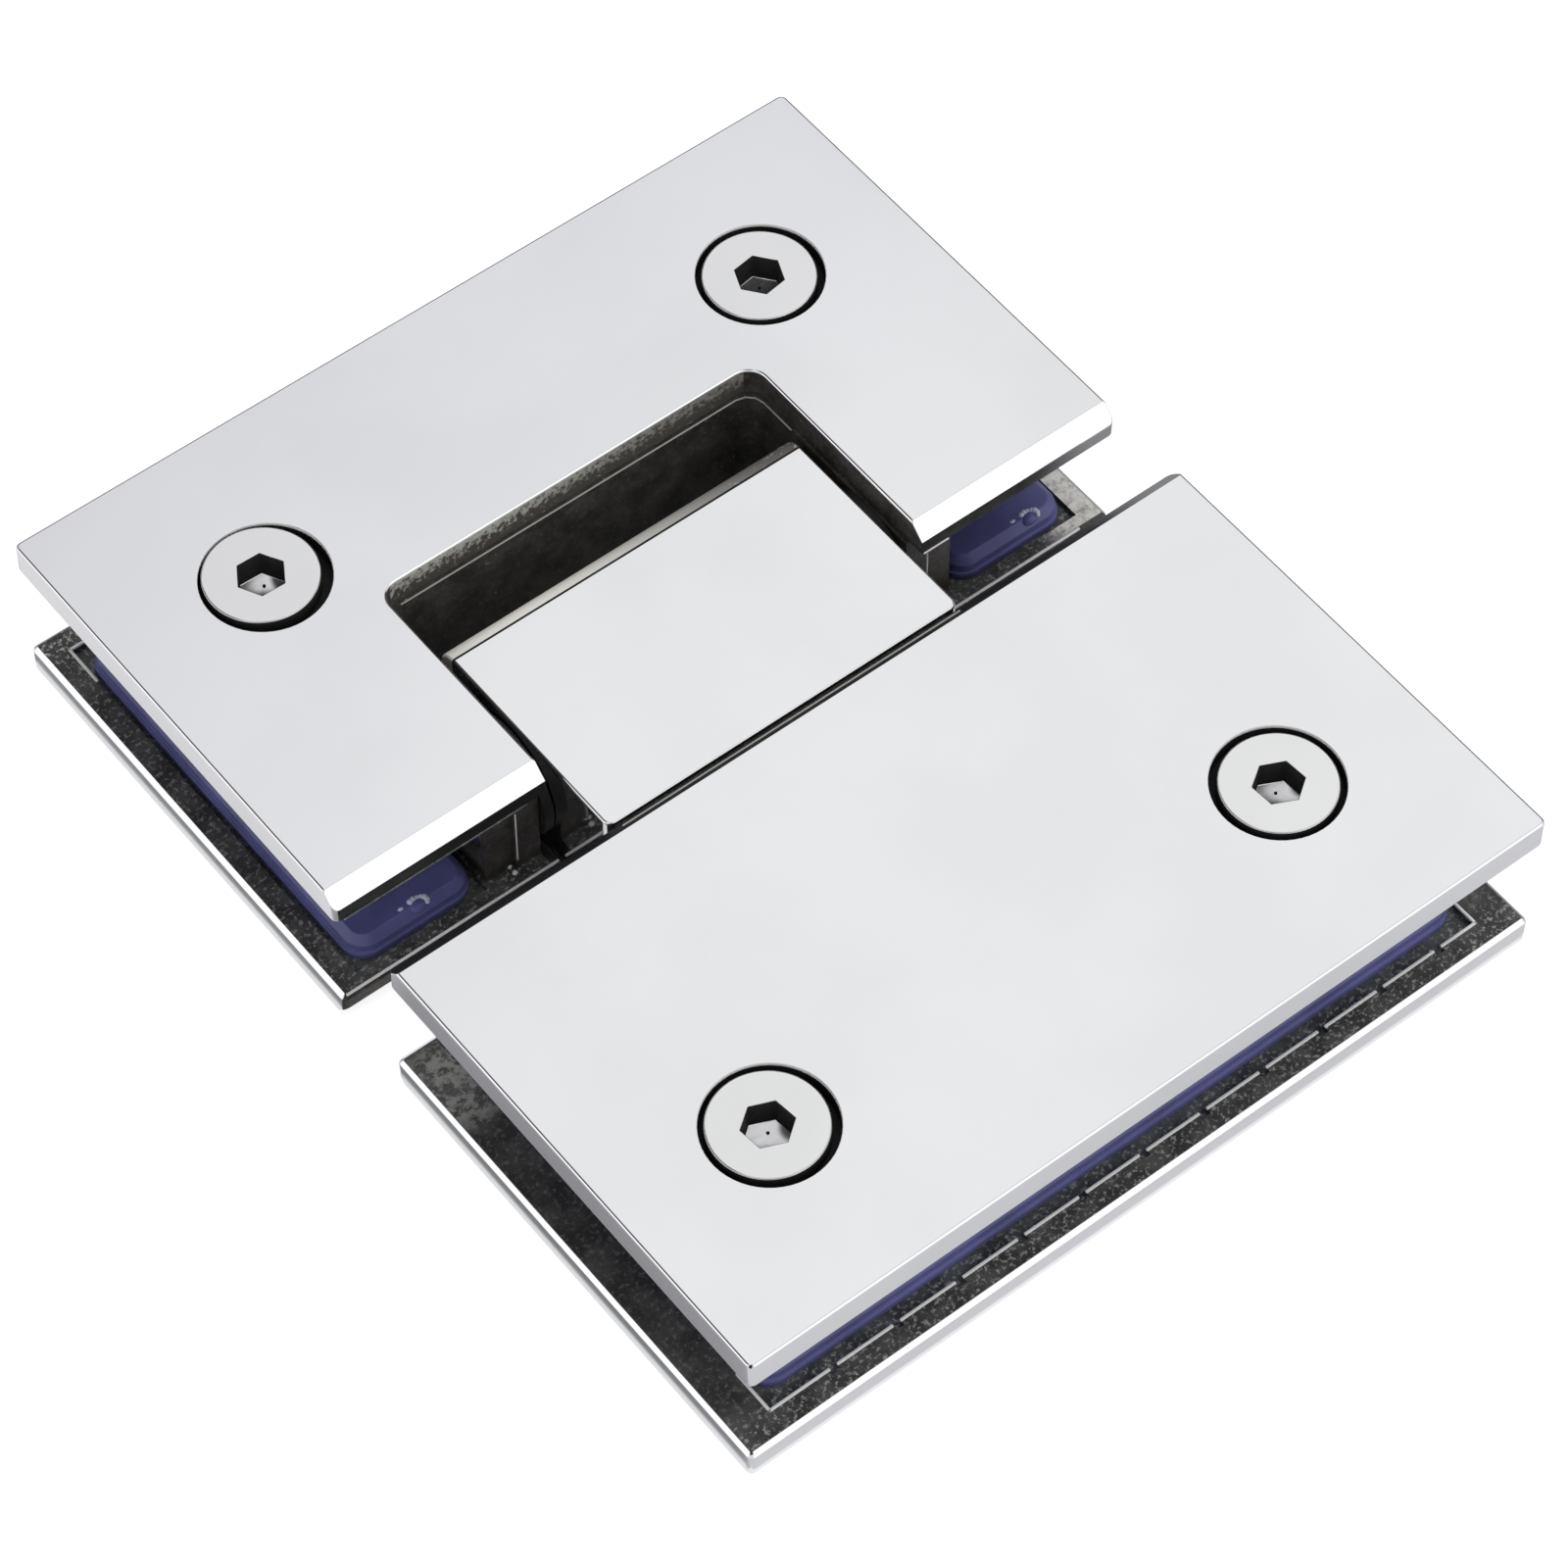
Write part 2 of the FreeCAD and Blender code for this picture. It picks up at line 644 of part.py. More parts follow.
def knuckle_fixing_screw(side, sign):
    """The cap screw that draws the tang down on the plain back plate."""
    head_top = f"({INNER_TOP} - fixing_recess_depth + fixing_head_height)"
    shank = f"{head_top} - fixing_head_height - fixing_tip_z"
    body = turned_screw(f"knuckle_fixing_screw_{side}",
                        (("fixing_head_radius", "fixing_head_height"), ("fixing_radius", shank)),
                        "fixing_socket_flats", "fixing_socket_depth")
    place(body, f"{sign}fixing_x", "fixing_y", head_top)


def detent_shoe():
    """The shoe that the springs press against the pin's flats, drawn back from them."""
    body = new_body("detent_shoe")
    sketch = sketch_on(body, plane="YZ_Plane")
    half = "shoe_height / 2"
    rectangle(sketch, "shoe_back_y", "shoe_face_y", f"{AXIS_Z} - {half}", f"{AXIS_Z} + {half}")
    pad(body, sketch, "shoe_width", both_ways=True)
    face = value("shoe_face_y")
    dress(body, "Chamfer", "shoe_chamfer",
          lambda box, edge: near(box.YMin, face) and near(box.YMax, face) and box.XLength > 1)


def spring_adjusting_screw(side, sign):
    """The set screw in the tang's end that sets a spring's force."""
    body = turned_screw(f"spring_adjusting_screw_{side}", (("adjuster_radius", "adjuster_length"),),
                        "adjuster_socket_flats", "adjuster_socket_depth")
    place(body, f"{sign}spring_x", "tang_back_y + adjuster_inset", AXIS_Z, axis=Vector(1, 0, 0), angle=90)


def detent_spring(side, sign):
    """A coil spring between its adjusting screw and the shoe."""
    start = "(tang_back_y + adjuster_inset + adjuster_length)"
    body = new_body(f"detent_spring_{side}")
    wire = sketch_on(body, plane="XZ_Plane")
    circle(wire, "coil_radius", "wire_radius + static_play", "wire_radius")
    coil = body.newObject("PartDesign::AdditiveHelix", f"{body.Name}_coil")
    coil.Profile = wire
    coil.ReferenceAxis = (wire, ["V_Axis"])
    coil.Mode = 0
    coil.setExpression("Pitch", bound("spring_pitch"))
    coil.setExpression("Height", bound(f"shoe_back_y - {start} - 2 * wire_radius - 2 * static_play"))
    wire.Visibility = False
    place(body, f"{sign}spring_x", start, AXIS_Z, axis=Vector(1, 0, 0), angle=-90)


def build():
    """Make every sub-part of the hinge."""
    for leaf in ("notched", "plain"):
        front_plate(leaf)
        for face in ("front", "back"):
            gasket(leaf, face)
        for side, sign in SIDES:
            clamp_screw(leaf, side, sign)
            glass_sleeve(leaf, side, sign)
    pin_holes(back_plate("notched"))
    plain_back = back_plate("plain")
    taps = sketch_on(plain_back, "plate_thickness")
    for _, sign in SIDES:
        circle(taps, f"{sign}fixing_x", "fixing_y", "fixing_radius + static_play")
    pocket(plain_back, taps, "plate_thickness - fixing_tip_z")
    knuckle_block()
    pivot_pin()
    detent_shoe()
    for side, sign in SIDES:
        pin_lock_screw(side, sign)
        pivot_bush(side, sign)
        thrust_washer(side, sign)
        knuckle_fixing_screw(side, sign)
        spring_adjusting_screw(side, sign)
        detent_spring(side, sign)


def check_and_export():
    """Stop on any failed object, and then write one file for each sub-part."""
    doc.recompute()
    for item in doc.Objects:
        if "Invalid" in item.State or "Error" in item.State:
            raise ValueError(f"{item.Name} failed: {item.State}")
    for part in parts:
        shape = part.Shape
        if shape.isNull() or not shape.isValid() or len(shape.Solids) != 1:
            raise ValueError(f"{part.Label} is not one valid solid")
    os.makedirs("parts", exist_ok=True)
    for part in parts:
        part.Shape.exportStep(f"parts/{part.Label}.step")
        box = part.Shape.BoundBox
        print(f"{part.Label}: {part.Shape.Volume:.1f} mm3, X {box.XMin:.2f} to {box.XMax:.2f}, "
              f"Y {box.YMin:.2f} to {box.YMax:.2f}, Z {box.ZMin:.2f} to {box.ZMax:.2f}")


build()
check_and_export()
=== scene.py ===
import json
import math

import bmesh
import bpy
from mathutils import Matrix, Vector


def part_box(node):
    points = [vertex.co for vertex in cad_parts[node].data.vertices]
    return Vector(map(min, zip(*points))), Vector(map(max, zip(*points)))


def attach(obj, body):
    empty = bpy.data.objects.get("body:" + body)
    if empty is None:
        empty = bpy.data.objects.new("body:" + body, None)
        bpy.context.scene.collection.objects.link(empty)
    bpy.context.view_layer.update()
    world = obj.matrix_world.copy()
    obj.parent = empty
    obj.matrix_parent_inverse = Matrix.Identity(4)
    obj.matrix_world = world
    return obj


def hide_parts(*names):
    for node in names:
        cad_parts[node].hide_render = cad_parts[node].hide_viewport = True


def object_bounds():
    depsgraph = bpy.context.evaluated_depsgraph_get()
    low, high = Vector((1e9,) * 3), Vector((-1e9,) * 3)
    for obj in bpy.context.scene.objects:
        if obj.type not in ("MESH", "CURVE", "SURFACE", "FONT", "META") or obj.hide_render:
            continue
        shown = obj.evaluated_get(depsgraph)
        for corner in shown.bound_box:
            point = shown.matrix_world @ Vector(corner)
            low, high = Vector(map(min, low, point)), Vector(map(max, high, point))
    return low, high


bl_info = {
    "name": "Glass Door Hinge",
    "version": (1, 0, 0),
    "blender": (4, 5, 0),
    "location": "View3D > Sidebar > Hinge",
    "description": "Finishes a chrome hinge for glass doors around its solids",
    "category": "Add Mesh",
}

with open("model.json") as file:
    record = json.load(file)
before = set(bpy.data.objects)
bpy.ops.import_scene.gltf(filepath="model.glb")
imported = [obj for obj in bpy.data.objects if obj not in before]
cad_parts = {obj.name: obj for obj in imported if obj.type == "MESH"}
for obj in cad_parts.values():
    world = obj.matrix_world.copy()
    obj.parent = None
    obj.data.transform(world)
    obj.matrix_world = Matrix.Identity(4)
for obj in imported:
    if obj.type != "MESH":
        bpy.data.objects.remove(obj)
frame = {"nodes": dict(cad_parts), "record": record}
SOLID_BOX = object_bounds()

MM = 0.001
SIDES = (("left", -1), ("right", 1))
LEAVES = ("notched", "plain")
FLAT = 0.9          # a face looks along an axis when its normal's share is above this
STEEP = 0.1         # and across it when the share is below this
WELD = 1e-6
COPLANAR = math.radians(0.5)
SHARP = math.radians(25)

BORE_REACH = 7 * MM         # a face nearer than this to a clamp screw's axis is in its counterbore
CLEARANCE_REACH = 8.5 * MM  # and nearer than this, in the gasket's hole for the sleeve

# Heights and edges that the solids give
PLATE_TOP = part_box("plain_front_plate")[1].z
COVER_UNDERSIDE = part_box("plain_front_plate")[0].z
LEDGE = PLATE_TOP - COVER_UNDERSIDE
SEAT_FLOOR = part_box("plain_back_gasket")[0].z


def paint_colour(name, description, default):
    """A colour in the add-on's panel."""
    return bpy.props.FloatVectorProperty(name=name, description=description, subtype="COLOR",
                                         min=0, max=1, default=default)


def small_length(name, description, default):
    """A small length in the add-on's panel."""
    return bpy.props.FloatProperty(name=name, description=description, default=default,
                                   unit="LENGTH", precision=6)


class HingeFinish(bpy.types.PropertyGroup):
    """Colours of the hinge's finishes."""
    chrome: paint_colour("Chrome", "Polished plating of the plates", (0.86, 0.863, 0.875))
    knuckle: paint_colour("Knuckle", "Polished plating of the knuckle block", (0.87, 0.875, 0.878))
    screw: paint_colour("Screws", "Plating of the clamp screws", (0.83, 0.83, 0.83))
    cast: paint_colour("Cast skin", "Unpolished plating on the inner faces", (0.12, 0.12, 0.115))
    worn: paint_colour("Worn skin", "Where the unpolished plating is thin and pale", (0.5, 0.5, 0.45))
    seat: paint_colour("Seat", "Unpolished plating at the bottom of the gasket seats",
                       (0.15, 0.165, 0.155))
    # Also painted shade on the near side of the notched leaf's back plate
    rim: paint_colour("Rim", "Unpolished plating round the notch", (0.075, 0.068, 0.06))
    # Painted shade in the counterbores, in the screws' sockets and along the knuckle block's bend; also dark
    # nicks and dots
    shade_and_marks: paint_colour("Recess", "The dark walls of counterbores and sockets", (0.028, 0.027, 0.026))
    gasket: paint_colour("Gasket", "Rubber of the gaskets", (0.12, 0.12, 0.32))
    # The nubs' pale crescents are painted highlights
    nub: paint_colour("Nubs", "Rubber stretched pale at the moulding nubs", (0.66, 0.7, 0.85))
    # Painted highlights on the seat beads, the tops of the counterbore walls and thin lines along the
    # castings
    bead: paint_colour("Beads", "Raised lines that rubbing has kept bright", (0.95, 0.95, 0.93))
    # Also the painted reflection along the knuckle block's far edge
    cream_patch_and_reflection: paint_colour("Cream patch", "The bare pale patch on the notched leaf's right arm",
                        (0.93, 0.91, 0.84))
    # Also the painted highlight lines along the rim's top edge and the plain leaf's far bevel
    torn: paint_colour("Torn edge", "Where the notch was sawn out and left pale", (0.46, 0.46, 0.42))
    shaded: paint_colour("Shaded side", "The sides that face the gap between the leaves",
                         (0.015, 0.015, 0.016))
    nylon: paint_colour("Nylon", "Natural nylon of the glass sleeves", (0.78, 0.78, 0.75))
    washer: paint_colour("Washers", "Black nylon of the thrust washers", (0.012, 0.012, 0.013))
    brass: paint_colour("Brass", "Machined brass of the detent shoe", (0.74, 0.56, 0.27))
    bronze: paint_colour("Bronze", "Sintered bronze of the bushes", (0.55, 0.37, 0.18))
    steel: paint_colour("Steel", "Ground steel of the pin and the springs", (0.62, 0.62, 0.63))
    black_steel: paint_colour("Black steel", "Blackened steel of the small screws", (0.045, 0.045, 0.05))


class HingeSizes(bpy.types.PropertyGroup):
    """Sizes of the small forms that the solids leave out."""
    edge_round: small_length("Edge rounding", "How far the polished edges are rounded", 0.1 * MM)
    back_round: small_length("Back plate rounding", "How far the back plates' edges are rounded",
                             0.17 * MM)
    head_round: small_length("Head rounding", "How far the rims of the screw heads are rounded",
                             0.16 * MM)
    lip_width: small_length("Gasket lip", "How far the foot of a gasket stands out", 0.25 * MM)
    lip_height: small_length("Gasket lip height", "Height of the foot of a gasket", 0.9 * MM)
    gasket_round: small_length("Gasket rounding", "Radius along a gasket's edges", 0.32 * MM)
    nub_radius: small_length("Moulding nub", "Radius of the nub that moulding leaves on a gasket",
                             0.95 * MM)
    bead_width: small_length("Bead width", "Width of the bead along a gasket seat", 0.3 * MM)
    bead_turn: small_length("Bead turn", "How far the bead runs on round the seat's corners", 4.5 * MM)
    drill_point: small_length("Drill point", "Depth of the cone at the bottom of a screw's socket",
                              0.75 * MM)
    # The depth of the painted highlight at the top of a counterbore's wall
    bore_highlight_depth: small_length("Bore lip", "How far down a counterbore's wall is bright", 0.35 * MM)
    bore_mark: small_length("Bore mark", "Radius of the dark dot at the bottom of a screw's socket",
                            0.16 * MM)


class HingeStage(bpy.types.PropertyGroup):
    """The floor and the camera."""
    floor_size: bpy.props.FloatProperty(
        name="Floor size", description="Half the floor's length and width", default=4.0, unit="LENGTH")
    floor: bpy.props.FloatVectorProperty(
        name="Floor", description="Colour of the floor", subtype="COLOR", min=0, max=1,
        default=(0.45, 0.45, 0.465))
    azimuth: bpy.props.FloatProperty(
        name="Azimuth", description="Where the camera stands round the hinge",
        default=math.radians(-38.37), unit="ROTATION")
    elevation: bpy.props.FloatProperty(
        name="Elevation", description="How far the camera looks down",
        default=math.radians(54.833), unit="ROTATION")
    roll: bpy.props.FloatProperty(
        name="Roll", description="How far the camera is tipped sideways",
        default=math.radians(0.188), unit="ROTATION")
    distance: bpy.props.FloatProperty(
        name="Distance", description="From the camera to the point that it looks at",
        default=510.97 * MM, unit="LENGTH")
    lens: bpy.props.FloatProperty(
        name="Lens", description="Focal length in millimetres on a 36 mm sensor", default=131.47)
    aim: bpy.props.FloatVectorProperty(
        name="Aim", description="The point that the camera looks at", subtype="TRANSLATION",
        default=(-5.86 * MM, -9.86 * MM, PLATE_TOP), unit="LENGTH", precision=5)


# Shader helpers

class Nodes:
    """Adds nodes to one tree and links them by name."""

    def __init__(self, tree):
        self.tree = tree

    def add(self, kind, **settings):
        node = self.tree.nodes.new(kind)
        for name, setting in settings.items():
            setattr(node, name, setting)
        return node

    def link(self, source, target):
        self.tree.links.new(source, target)

    def noise(self, coordinates, scale, detail=4.0, roughness=0.5):
        node = self.add("ShaderNodeTexNoise")
        self.link(coordinates, node.inputs["Vector"])
        if isinstance(scale, (int, float)):
            node.inputs["Scale"].default_value = scale
        else:
            self.link(scale, node.inputs["Scale"])
        node.inputs["Detail"].default_value = detail
        node.inputs["Roughness"].default_value = roughness
        return node.outputs["Fac"]

    def remap(self, source, low, high, to_low=0.0, to_high=1.0):
        node = self.add("ShaderNodeMapRange", interpolation_type="SMOOTHSTEP")
        self.link(source, node.inputs["Value"])
        for name, number in (("From Min", low), ("From Max", high),
                             ("To Min", to_low), ("To Max", to_high)):
            if isinstance(number, (int, float)):
                node.inputs[name].default_value = number
            else:
                self.link(number, node.inputs[name])
        return node.outputs["Result"]

    def math(self, operation, first, second=None):
        node = self.add("ShaderNodeMath", operation=operation)
        for socket, given in zip(node.inputs, (first, second)):
            if isinstance(given, (int, float)):
                socket.default_value = given
            elif given is not None:
                self.link(given, socket)
        return node.outputs["Value"]

    def mix(self, share, first, second):
        node = self.add("ShaderNodeMix", data_type="RGBA")
        for name, given in (("Factor_Float", share), ("A_Color", first), ("B_Color", second)):
            socket = next(item for item in node.inputs if item.identifier == name)
            if isinstance(given, (int, float, tuple)):
                socket.default_value = given
            else:
                self.link(given, socket)
        return next(item for item in node.outputs if item.identifier == "Result_Color")

    def darker(self, colour, value):
        node = self.add("ShaderNodeHueSaturation")
        node.inputs["Value"].default_value = value
        self.link(colour, node.inputs["Color"])
        return node.outputs["Color"]

    def split(self, vector):
        node = self.add("ShaderNodeSeparateXYZ")
        self.link(vector, node.inputs["Vector"])
        return node.outputs

    def towards(self, direction, at):
        node = self.add("ShaderNodeVectorMath", operation="DOT_PRODUCT")
        node.inputs[1].default_value = at
        self.link(direction, node.inputs[0])
        return node.outputs["Value"]


def effect_group(name, inputs):
    """Start a shader node group that puts out a colour, a roughness and a height."""
    group = bpy.data.node_groups.new(name, "ShaderNodeTree")
    for key, kind, default in inputs:
        socket = group.interface.new_socket(name=key, in_out="INPUT", socket_type="NodeSocket" + kind)
        socket.default_value = default
    for key, kind in (("Colour", "Color"), ("Roughness", "Float"), ("Height", "Float")):
        group.interface.new_socket(name=key, in_out="OUTPUT", socket_type="NodeSocket" + kind)
    nodes = Nodes(group)
    given, out = nodes.add("NodeGroupInput").outputs, nodes.add("NodeGroupOutput").inputs
    return nodes, given, out, nodes.add("ShaderNodeTexCoord").outputs["Object"]


def plating_wear():
    """The shared wear of polished metal: a faint haze, wiping marks and slow waves."""
    nodes, given, out, place = effect_group("plating_wear", (
        ("Colour", "Color", (0.8, 0.8, 0.8, 1)), ("Roughness", "Float", 0.05), ("Haze", "Float", 0.04)))
    cloud = nodes.remap(nodes.noise(place, 45, 5), 0.35, 0.7)
    wipes = nodes.add("ShaderNodeMapping")
    wipes.inputs["Rotation"].default_value = (0, 0, math.radians(34))
    wipes.inputs["Scale"].default_value = (1, 9, 1)
    nodes.link(place, wipes.inputs["Vector"])
    streaks = nodes.remap(nodes.noise(wipes.outputs["Vector"], 260, 6, 0.6), 0.48, 0.72)
    dull = nodes.darker(given["Colour"], 0.93)
    nodes.link(nodes.mix(nodes.math("MULTIPLY", cloud, 0.6), given["Colour"], dull), out["Colour"])
    haze = nodes.math("MULTIPLY", nodes.math("ADD", cloud, streaks), given["Haze"])
    nodes.link(nodes.math("ADD", given["Roughness"], haze), out["Roughness"])
    nodes.link(nodes.noise(place, 120, 2), out["Height"])
    return nodes.tree


def cast_skin():
    """The shared look of a cast inner face: mottled, pitted, with bright specks and one pale patch."""
    nodes, given, out, place = effect_group("cast_skin", (
        ("Colour", "Color", (0.1, 0.1, 0.1, 1)), ("Worn", "Color", (0.6, 0.6, 0.55, 1)),
        ("Mottle", "Float", 0.2), ("Specks", "Float", 0.66),
        ("Patch", "Vector", (0, 0, 1)), ("Clear", "Float", 0.4)))
    blotch = nodes.remap(nodes.noise(place, 300, 5, 0.6), 0.36, 0.68)
    body = nodes.mix(blotch, nodes.darker(given["Colour"], 0.4), given["Colour"])
    outer = nodes.remap(nodes.math("ABSOLUTE", nodes.split(place)["Y"]), 50 * MM, 53 * MM, 1, 3)
    fine = nodes.remap(nodes.noise(place, 2000, 3, 0.75), 0.52, 0.64)
    share = nodes.math("MULTIPLY", nodes.math("MULTIPLY", fine, given["Mottle"]), outer)
    body = nodes.mix(share, body, given["Worn"])
    distance = nodes.add("ShaderNodeVectorMath", operation="DISTANCE")
    nodes.link(place, distance.inputs[0])
    nodes.link(given["Patch"], distance.inputs[1])
    near = nodes.remap(distance.outputs["Value"], 6 * MM, 3 * MM)
    bare = nodes.remap(nodes.noise(place, 1000, 5, 0.7), given["Clear"], 0.58, 0.1, 0.95)
    body = nodes.mix(nodes.math("MULTIPLY", near, bare), body, given["Worn"])
    edge = nodes.math("ADD", given["Specks"], 0.05)
    specks = nodes.remap(nodes.noise(place, 1900, 3, 0.6), given["Specks"], edge)
    nodes.link(nodes.mix(specks, body, given["Worn"]), out["Colour"])
    nodes.link(nodes.remap(specks, 0, 1, 0.5, 0.25), out["Roughness"])
    pits = nodes.noise(place, 900, 4, 0.7)
    nodes.link(nodes.math("ADD", pits, nodes.math("MULTIPLY", blotch, 0.6)), out["Height"])
    return nodes.tree


def ragged_wall():
    """The shared look of a face that is pale along one height with a torn edge and dark with specks below
    it, the pale share fading from left to right; on the knuckle block it is a painted reflection.
    """
    nodes, given, out, place = effect_group("ragged_wall", (
        ("Colour", "Color", (0.03, 0.03, 0.03, 1)), ("Pale", "Color", (0.8, 0.8, 0.78, 1)),
        ("Low", "Float", 17 * MM), ("High", "Float", 19 * MM),
        ("Specks", "Float", 0.6), ("Fade", "Float", 0.4)))
    apart = nodes.split(place)
    coarse = nodes.noise(place, 1500, 5, 0.75)
    torn = nodes.math("ADD", apart["Z"], nodes.remap(coarse, 0.35, 0.65, -1.3 * MM, 1.3 * MM))
    along = nodes.remap(apart["X"], -12 * MM, 20 * MM, 1, given["Fade"])
    pale = nodes.math("MULTIPLY", nodes.remap(torn, given["Low"], given["High"]), along)
    edge = nodes.math("ADD", given["Specks"], 0.08)
    specks = nodes.remap(nodes.noise(place, 1500, 3, 0.6), given["Specks"], edge)
    share = nodes.math("MAXIMUM", pale, nodes.math("MULTIPLY", specks, 0.5))
    nodes.link(nodes.mix(share, given["Colour"], given["Pale"]), out["Colour"])
    nodes.link(nodes.remap(coarse, 0.3, 0.7, 0.4, 0.6), out["Roughness"])
    nodes.link(coarse, out["Height"])
    return nodes.tree


def sideways_shade():
    """The shared look of a side whose shade lifts from one end to the other."""
    nodes, given, out, place = effect_group("sideways_shade", (
        ("Colour", "Color", (0.02, 0.02, 0.02, 1)), ("Light", "Color", (0.4, 0.4, 0.41, 1)),
        ("Start", "Float", 23 * MM), ("End", "Float", 33 * MM)))
    share = nodes.remap(nodes.split(place)["X"], given["Start"], given["End"])
    nodes.link(nodes.mix(share, given["Colour"], given["Light"]), out["Colour"])
    grain = nodes.noise(place, 700, 3)
    nodes.link(nodes.remap(grain, 0.3, 0.7, 0.35, 0.5), out["Roughness"])
    nodes.link(grain, out["Height"])
    return nodes.tree


def moulded_grain():
    """The shared look of moulded or sintered stuff: fine grain and a slow change of tone."""
    nodes, given, out, place = effect_group("moulded_grain", (
        ("Colour", "Color", (0.5, 0.5, 0.5, 1)), ("Roughness", "Float", 0.45), ("Grain", "Float", 1800)))
    tone = nodes.remap(nodes.noise(place, 160, 4), 0.3, 0.7)
    nodes.link(nodes.mix(tone, nodes.darker(given["Colour"], 0.72), given["Colour"]), out["Colour"])
    grain = nodes.noise(place, given["Grain"], 3)
    spread = nodes.remap(grain, 0.3, 0.7, -0.06, 0.08)
    nodes.link(nodes.math("ADD", given["Roughness"], spread), out["Roughness"])
    nodes.link(grain, out["Height"])
    return nodes.tree


def material(name, group, values, metallic=0.0, bump=0.1, relief=0.02 * MM, specular=0.5):
    """A material whose shared group drives colour, roughness and relief."""
    made = bpy.data.materials.new(name)
    made.use_nodes = True
    nodes = Nodes(made.node_tree)
    shader = made.node_tree.nodes["Principled BSDF"]
    effect = nodes.add("ShaderNodeGroup", node_tree=group)
    for key, given in values.items():
        is_colour = effect.inputs[key].type == "RGBA"
        effect.inputs[key].default_value = (*given, 1) if is_colour else given
    nodes.link(effect.outputs["Colour"], shader.inputs["Base Color"])
    nodes.link(effect.outputs["Roughness"], shader.inputs["Roughness"])
    relief_node = nodes.add("ShaderNodeBump")
    relief_node.inputs["Strength"].default_value = bump
    relief_node.inputs["Distance"].default_value = relief
    nodes.link(effect.outputs["Height"], relief_node.inputs["Height"])
    nodes.link(relief_node.outputs["Normal"], shader.inputs["Normal"])
    shader.inputs["Metallic"].default_value = metallic
    shader.inputs["Specular IOR Level"].default_value = specular
    return made


def make_materials(finish):
    """Build every finish once, by the name that the pieces ask for."""
    wear, cast, grain = plating_wear(), cast_skin(), moulded_grain()
    ragged, shade = ragged_wall(), sideways_shade()
    matt = 0.2
    polish = {"metallic": 1.0, "bump": 0.06, "relief": 0.05 * MM}

    def cast_with_patch(name, patch, worn, clear):
        values = {"Colour": finish.cast, "Worn": worn, "Mottle": 0.3, "Specks": 0.72,
                  "Patch": patch, "Clear": clear}
        return material(name, cast, values, metallic=0.2, bump=0.5, relief=0.06 * MM)

    return {
        "chrome": material("polished_chrome", wear, {"Colour": finish.chrome, "Roughness": 0.05}, **polish),
        "knuckle": material("knuckle_chrome", wear, {"Colour": finish.knuckle, "Roughness": 0.06}, **polish),
        "screw": material("screw_chrome", wear, {"Colour": finish.screw, "Roughness": 0.09}, **polish),
        "steel": material("ground_steel", wear, {"Colour": finish.steel, "Roughness": 0.22}, **polish),
        "notched_cast": cast_with_patch("notched_cast", (43 * MM, 8 * MM, LEDGE), finish.cream_patch_and_reflection, 0.2),
        "plain_cast": cast_with_patch("plain_cast", (-42.5 * MM, -9 * MM, LEDGE), finish.torn, 0.42),
        "seat": material("seat_skin", cast, {"Colour": finish.seat, "Worn": finish.worn, "Mottle": 0.45},
                         metallic=0.3, bump=0.5, relief=0.06 * MM),
        "rim": material("cast_rim", cast, {"Colour": finish.rim, "Worn": finish.worn,
                                           "Mottle": 0.08, "Specks": 0.7},
                        metallic=0.15, bump=0.6, relief=0.08 * MM),
        # Painted highlights
        "bead": material("painted_bead_highlight", wear, {"Colour": finish.bead, "Roughness": 0.35},
                         metallic=0.1, bump=0.05),
        "notch_wall": material("notch_wall", ragged,
                               {"Colour": finish.rim, "Pale": finish.torn, "Specks": 0.6,
                                "Low": PLATE_TOP - 2 * MM, "High": PLATE_TOP - 0.6 * MM},
                               bump=0.5, relief=0.1 * MM, specular=matt),
        # Painted reflection: pale at the left, fading to dark along the knuckle block's far edge
        "knuckle_end_reflection": material("knuckle_end_reflection", ragged,
                                {"Colour": finish.shade_and_marks, "Pale": finish.cream_patch_and_reflection,
                                 "Low": LEDGE, "High": 2 * LEDGE, "Fade": 0.12},
                                bump=0.3, relief=0.05 * MM, specular=matt),
        # Painted shade on the bevels beside the gap, lifting towards one end
        "bevel_painted_shade": material("bevel_painted_shade", shade,
                                {"Colour": finish.shaded, "Start": 34 * MM, "End": 43 * MM},
                                specular=matt),
        # Painted highlight lines
        "rim_highlight_line": material("rim_highlight_line", wear, {"Colour": finish.torn, "Roughness": 0.4},
                             metallic=0.2, bump=0.05),
        # Painted shade, and the dark nicks and dots
        "shade_and_marks": material("painted_shade_and_marks", grain, {"Colour": finish.shade_and_marks, "Roughness": 0.6},
                           bump=0.2, specular=0.15),
        "gasket": material("gasket_blue", grain, {"Colour": finish.gasket, "Roughness": 0.4}, bump=0.15),
        # Painted highlights round the nubs
        "nub": material("gasket_nub_highlight", grain, {"Colour": finish.nub, "Roughness": 0.3}, bump=0.3),
        "nylon": material("sleeve_nylon", grain, {"Colour": finish.nylon, "Roughness": 0.4}, bump=0.1),
        "washer": material("washer_nylon", grain, {"Colour": finish.washer, "Roughness": 0.45}, bump=0.1),
        "brass": material("shoe_brass", wear, {"Colour": finish.brass, "Roughness": 0.24}, **polish),
        "bronze": material("bush_bronze", grain, {"Colour": finish.bronze, "Roughness": 0.4},
                           metallic=1.0, bump=0.3),
        "black_steel": material("black_steel", grain, {"Colour": finish.black_steel, "Roughness": 0.32},
                                metallic=0.6, bump=0.1),
    }


materials = {}


def finish_named(name):
    """One of the shared materials, all made when the first is asked for."""
    if not materials:
        materials.update(make_materials(bpy.context.scene.hinge_finish))
    return materials[name]


# Mesh helpers

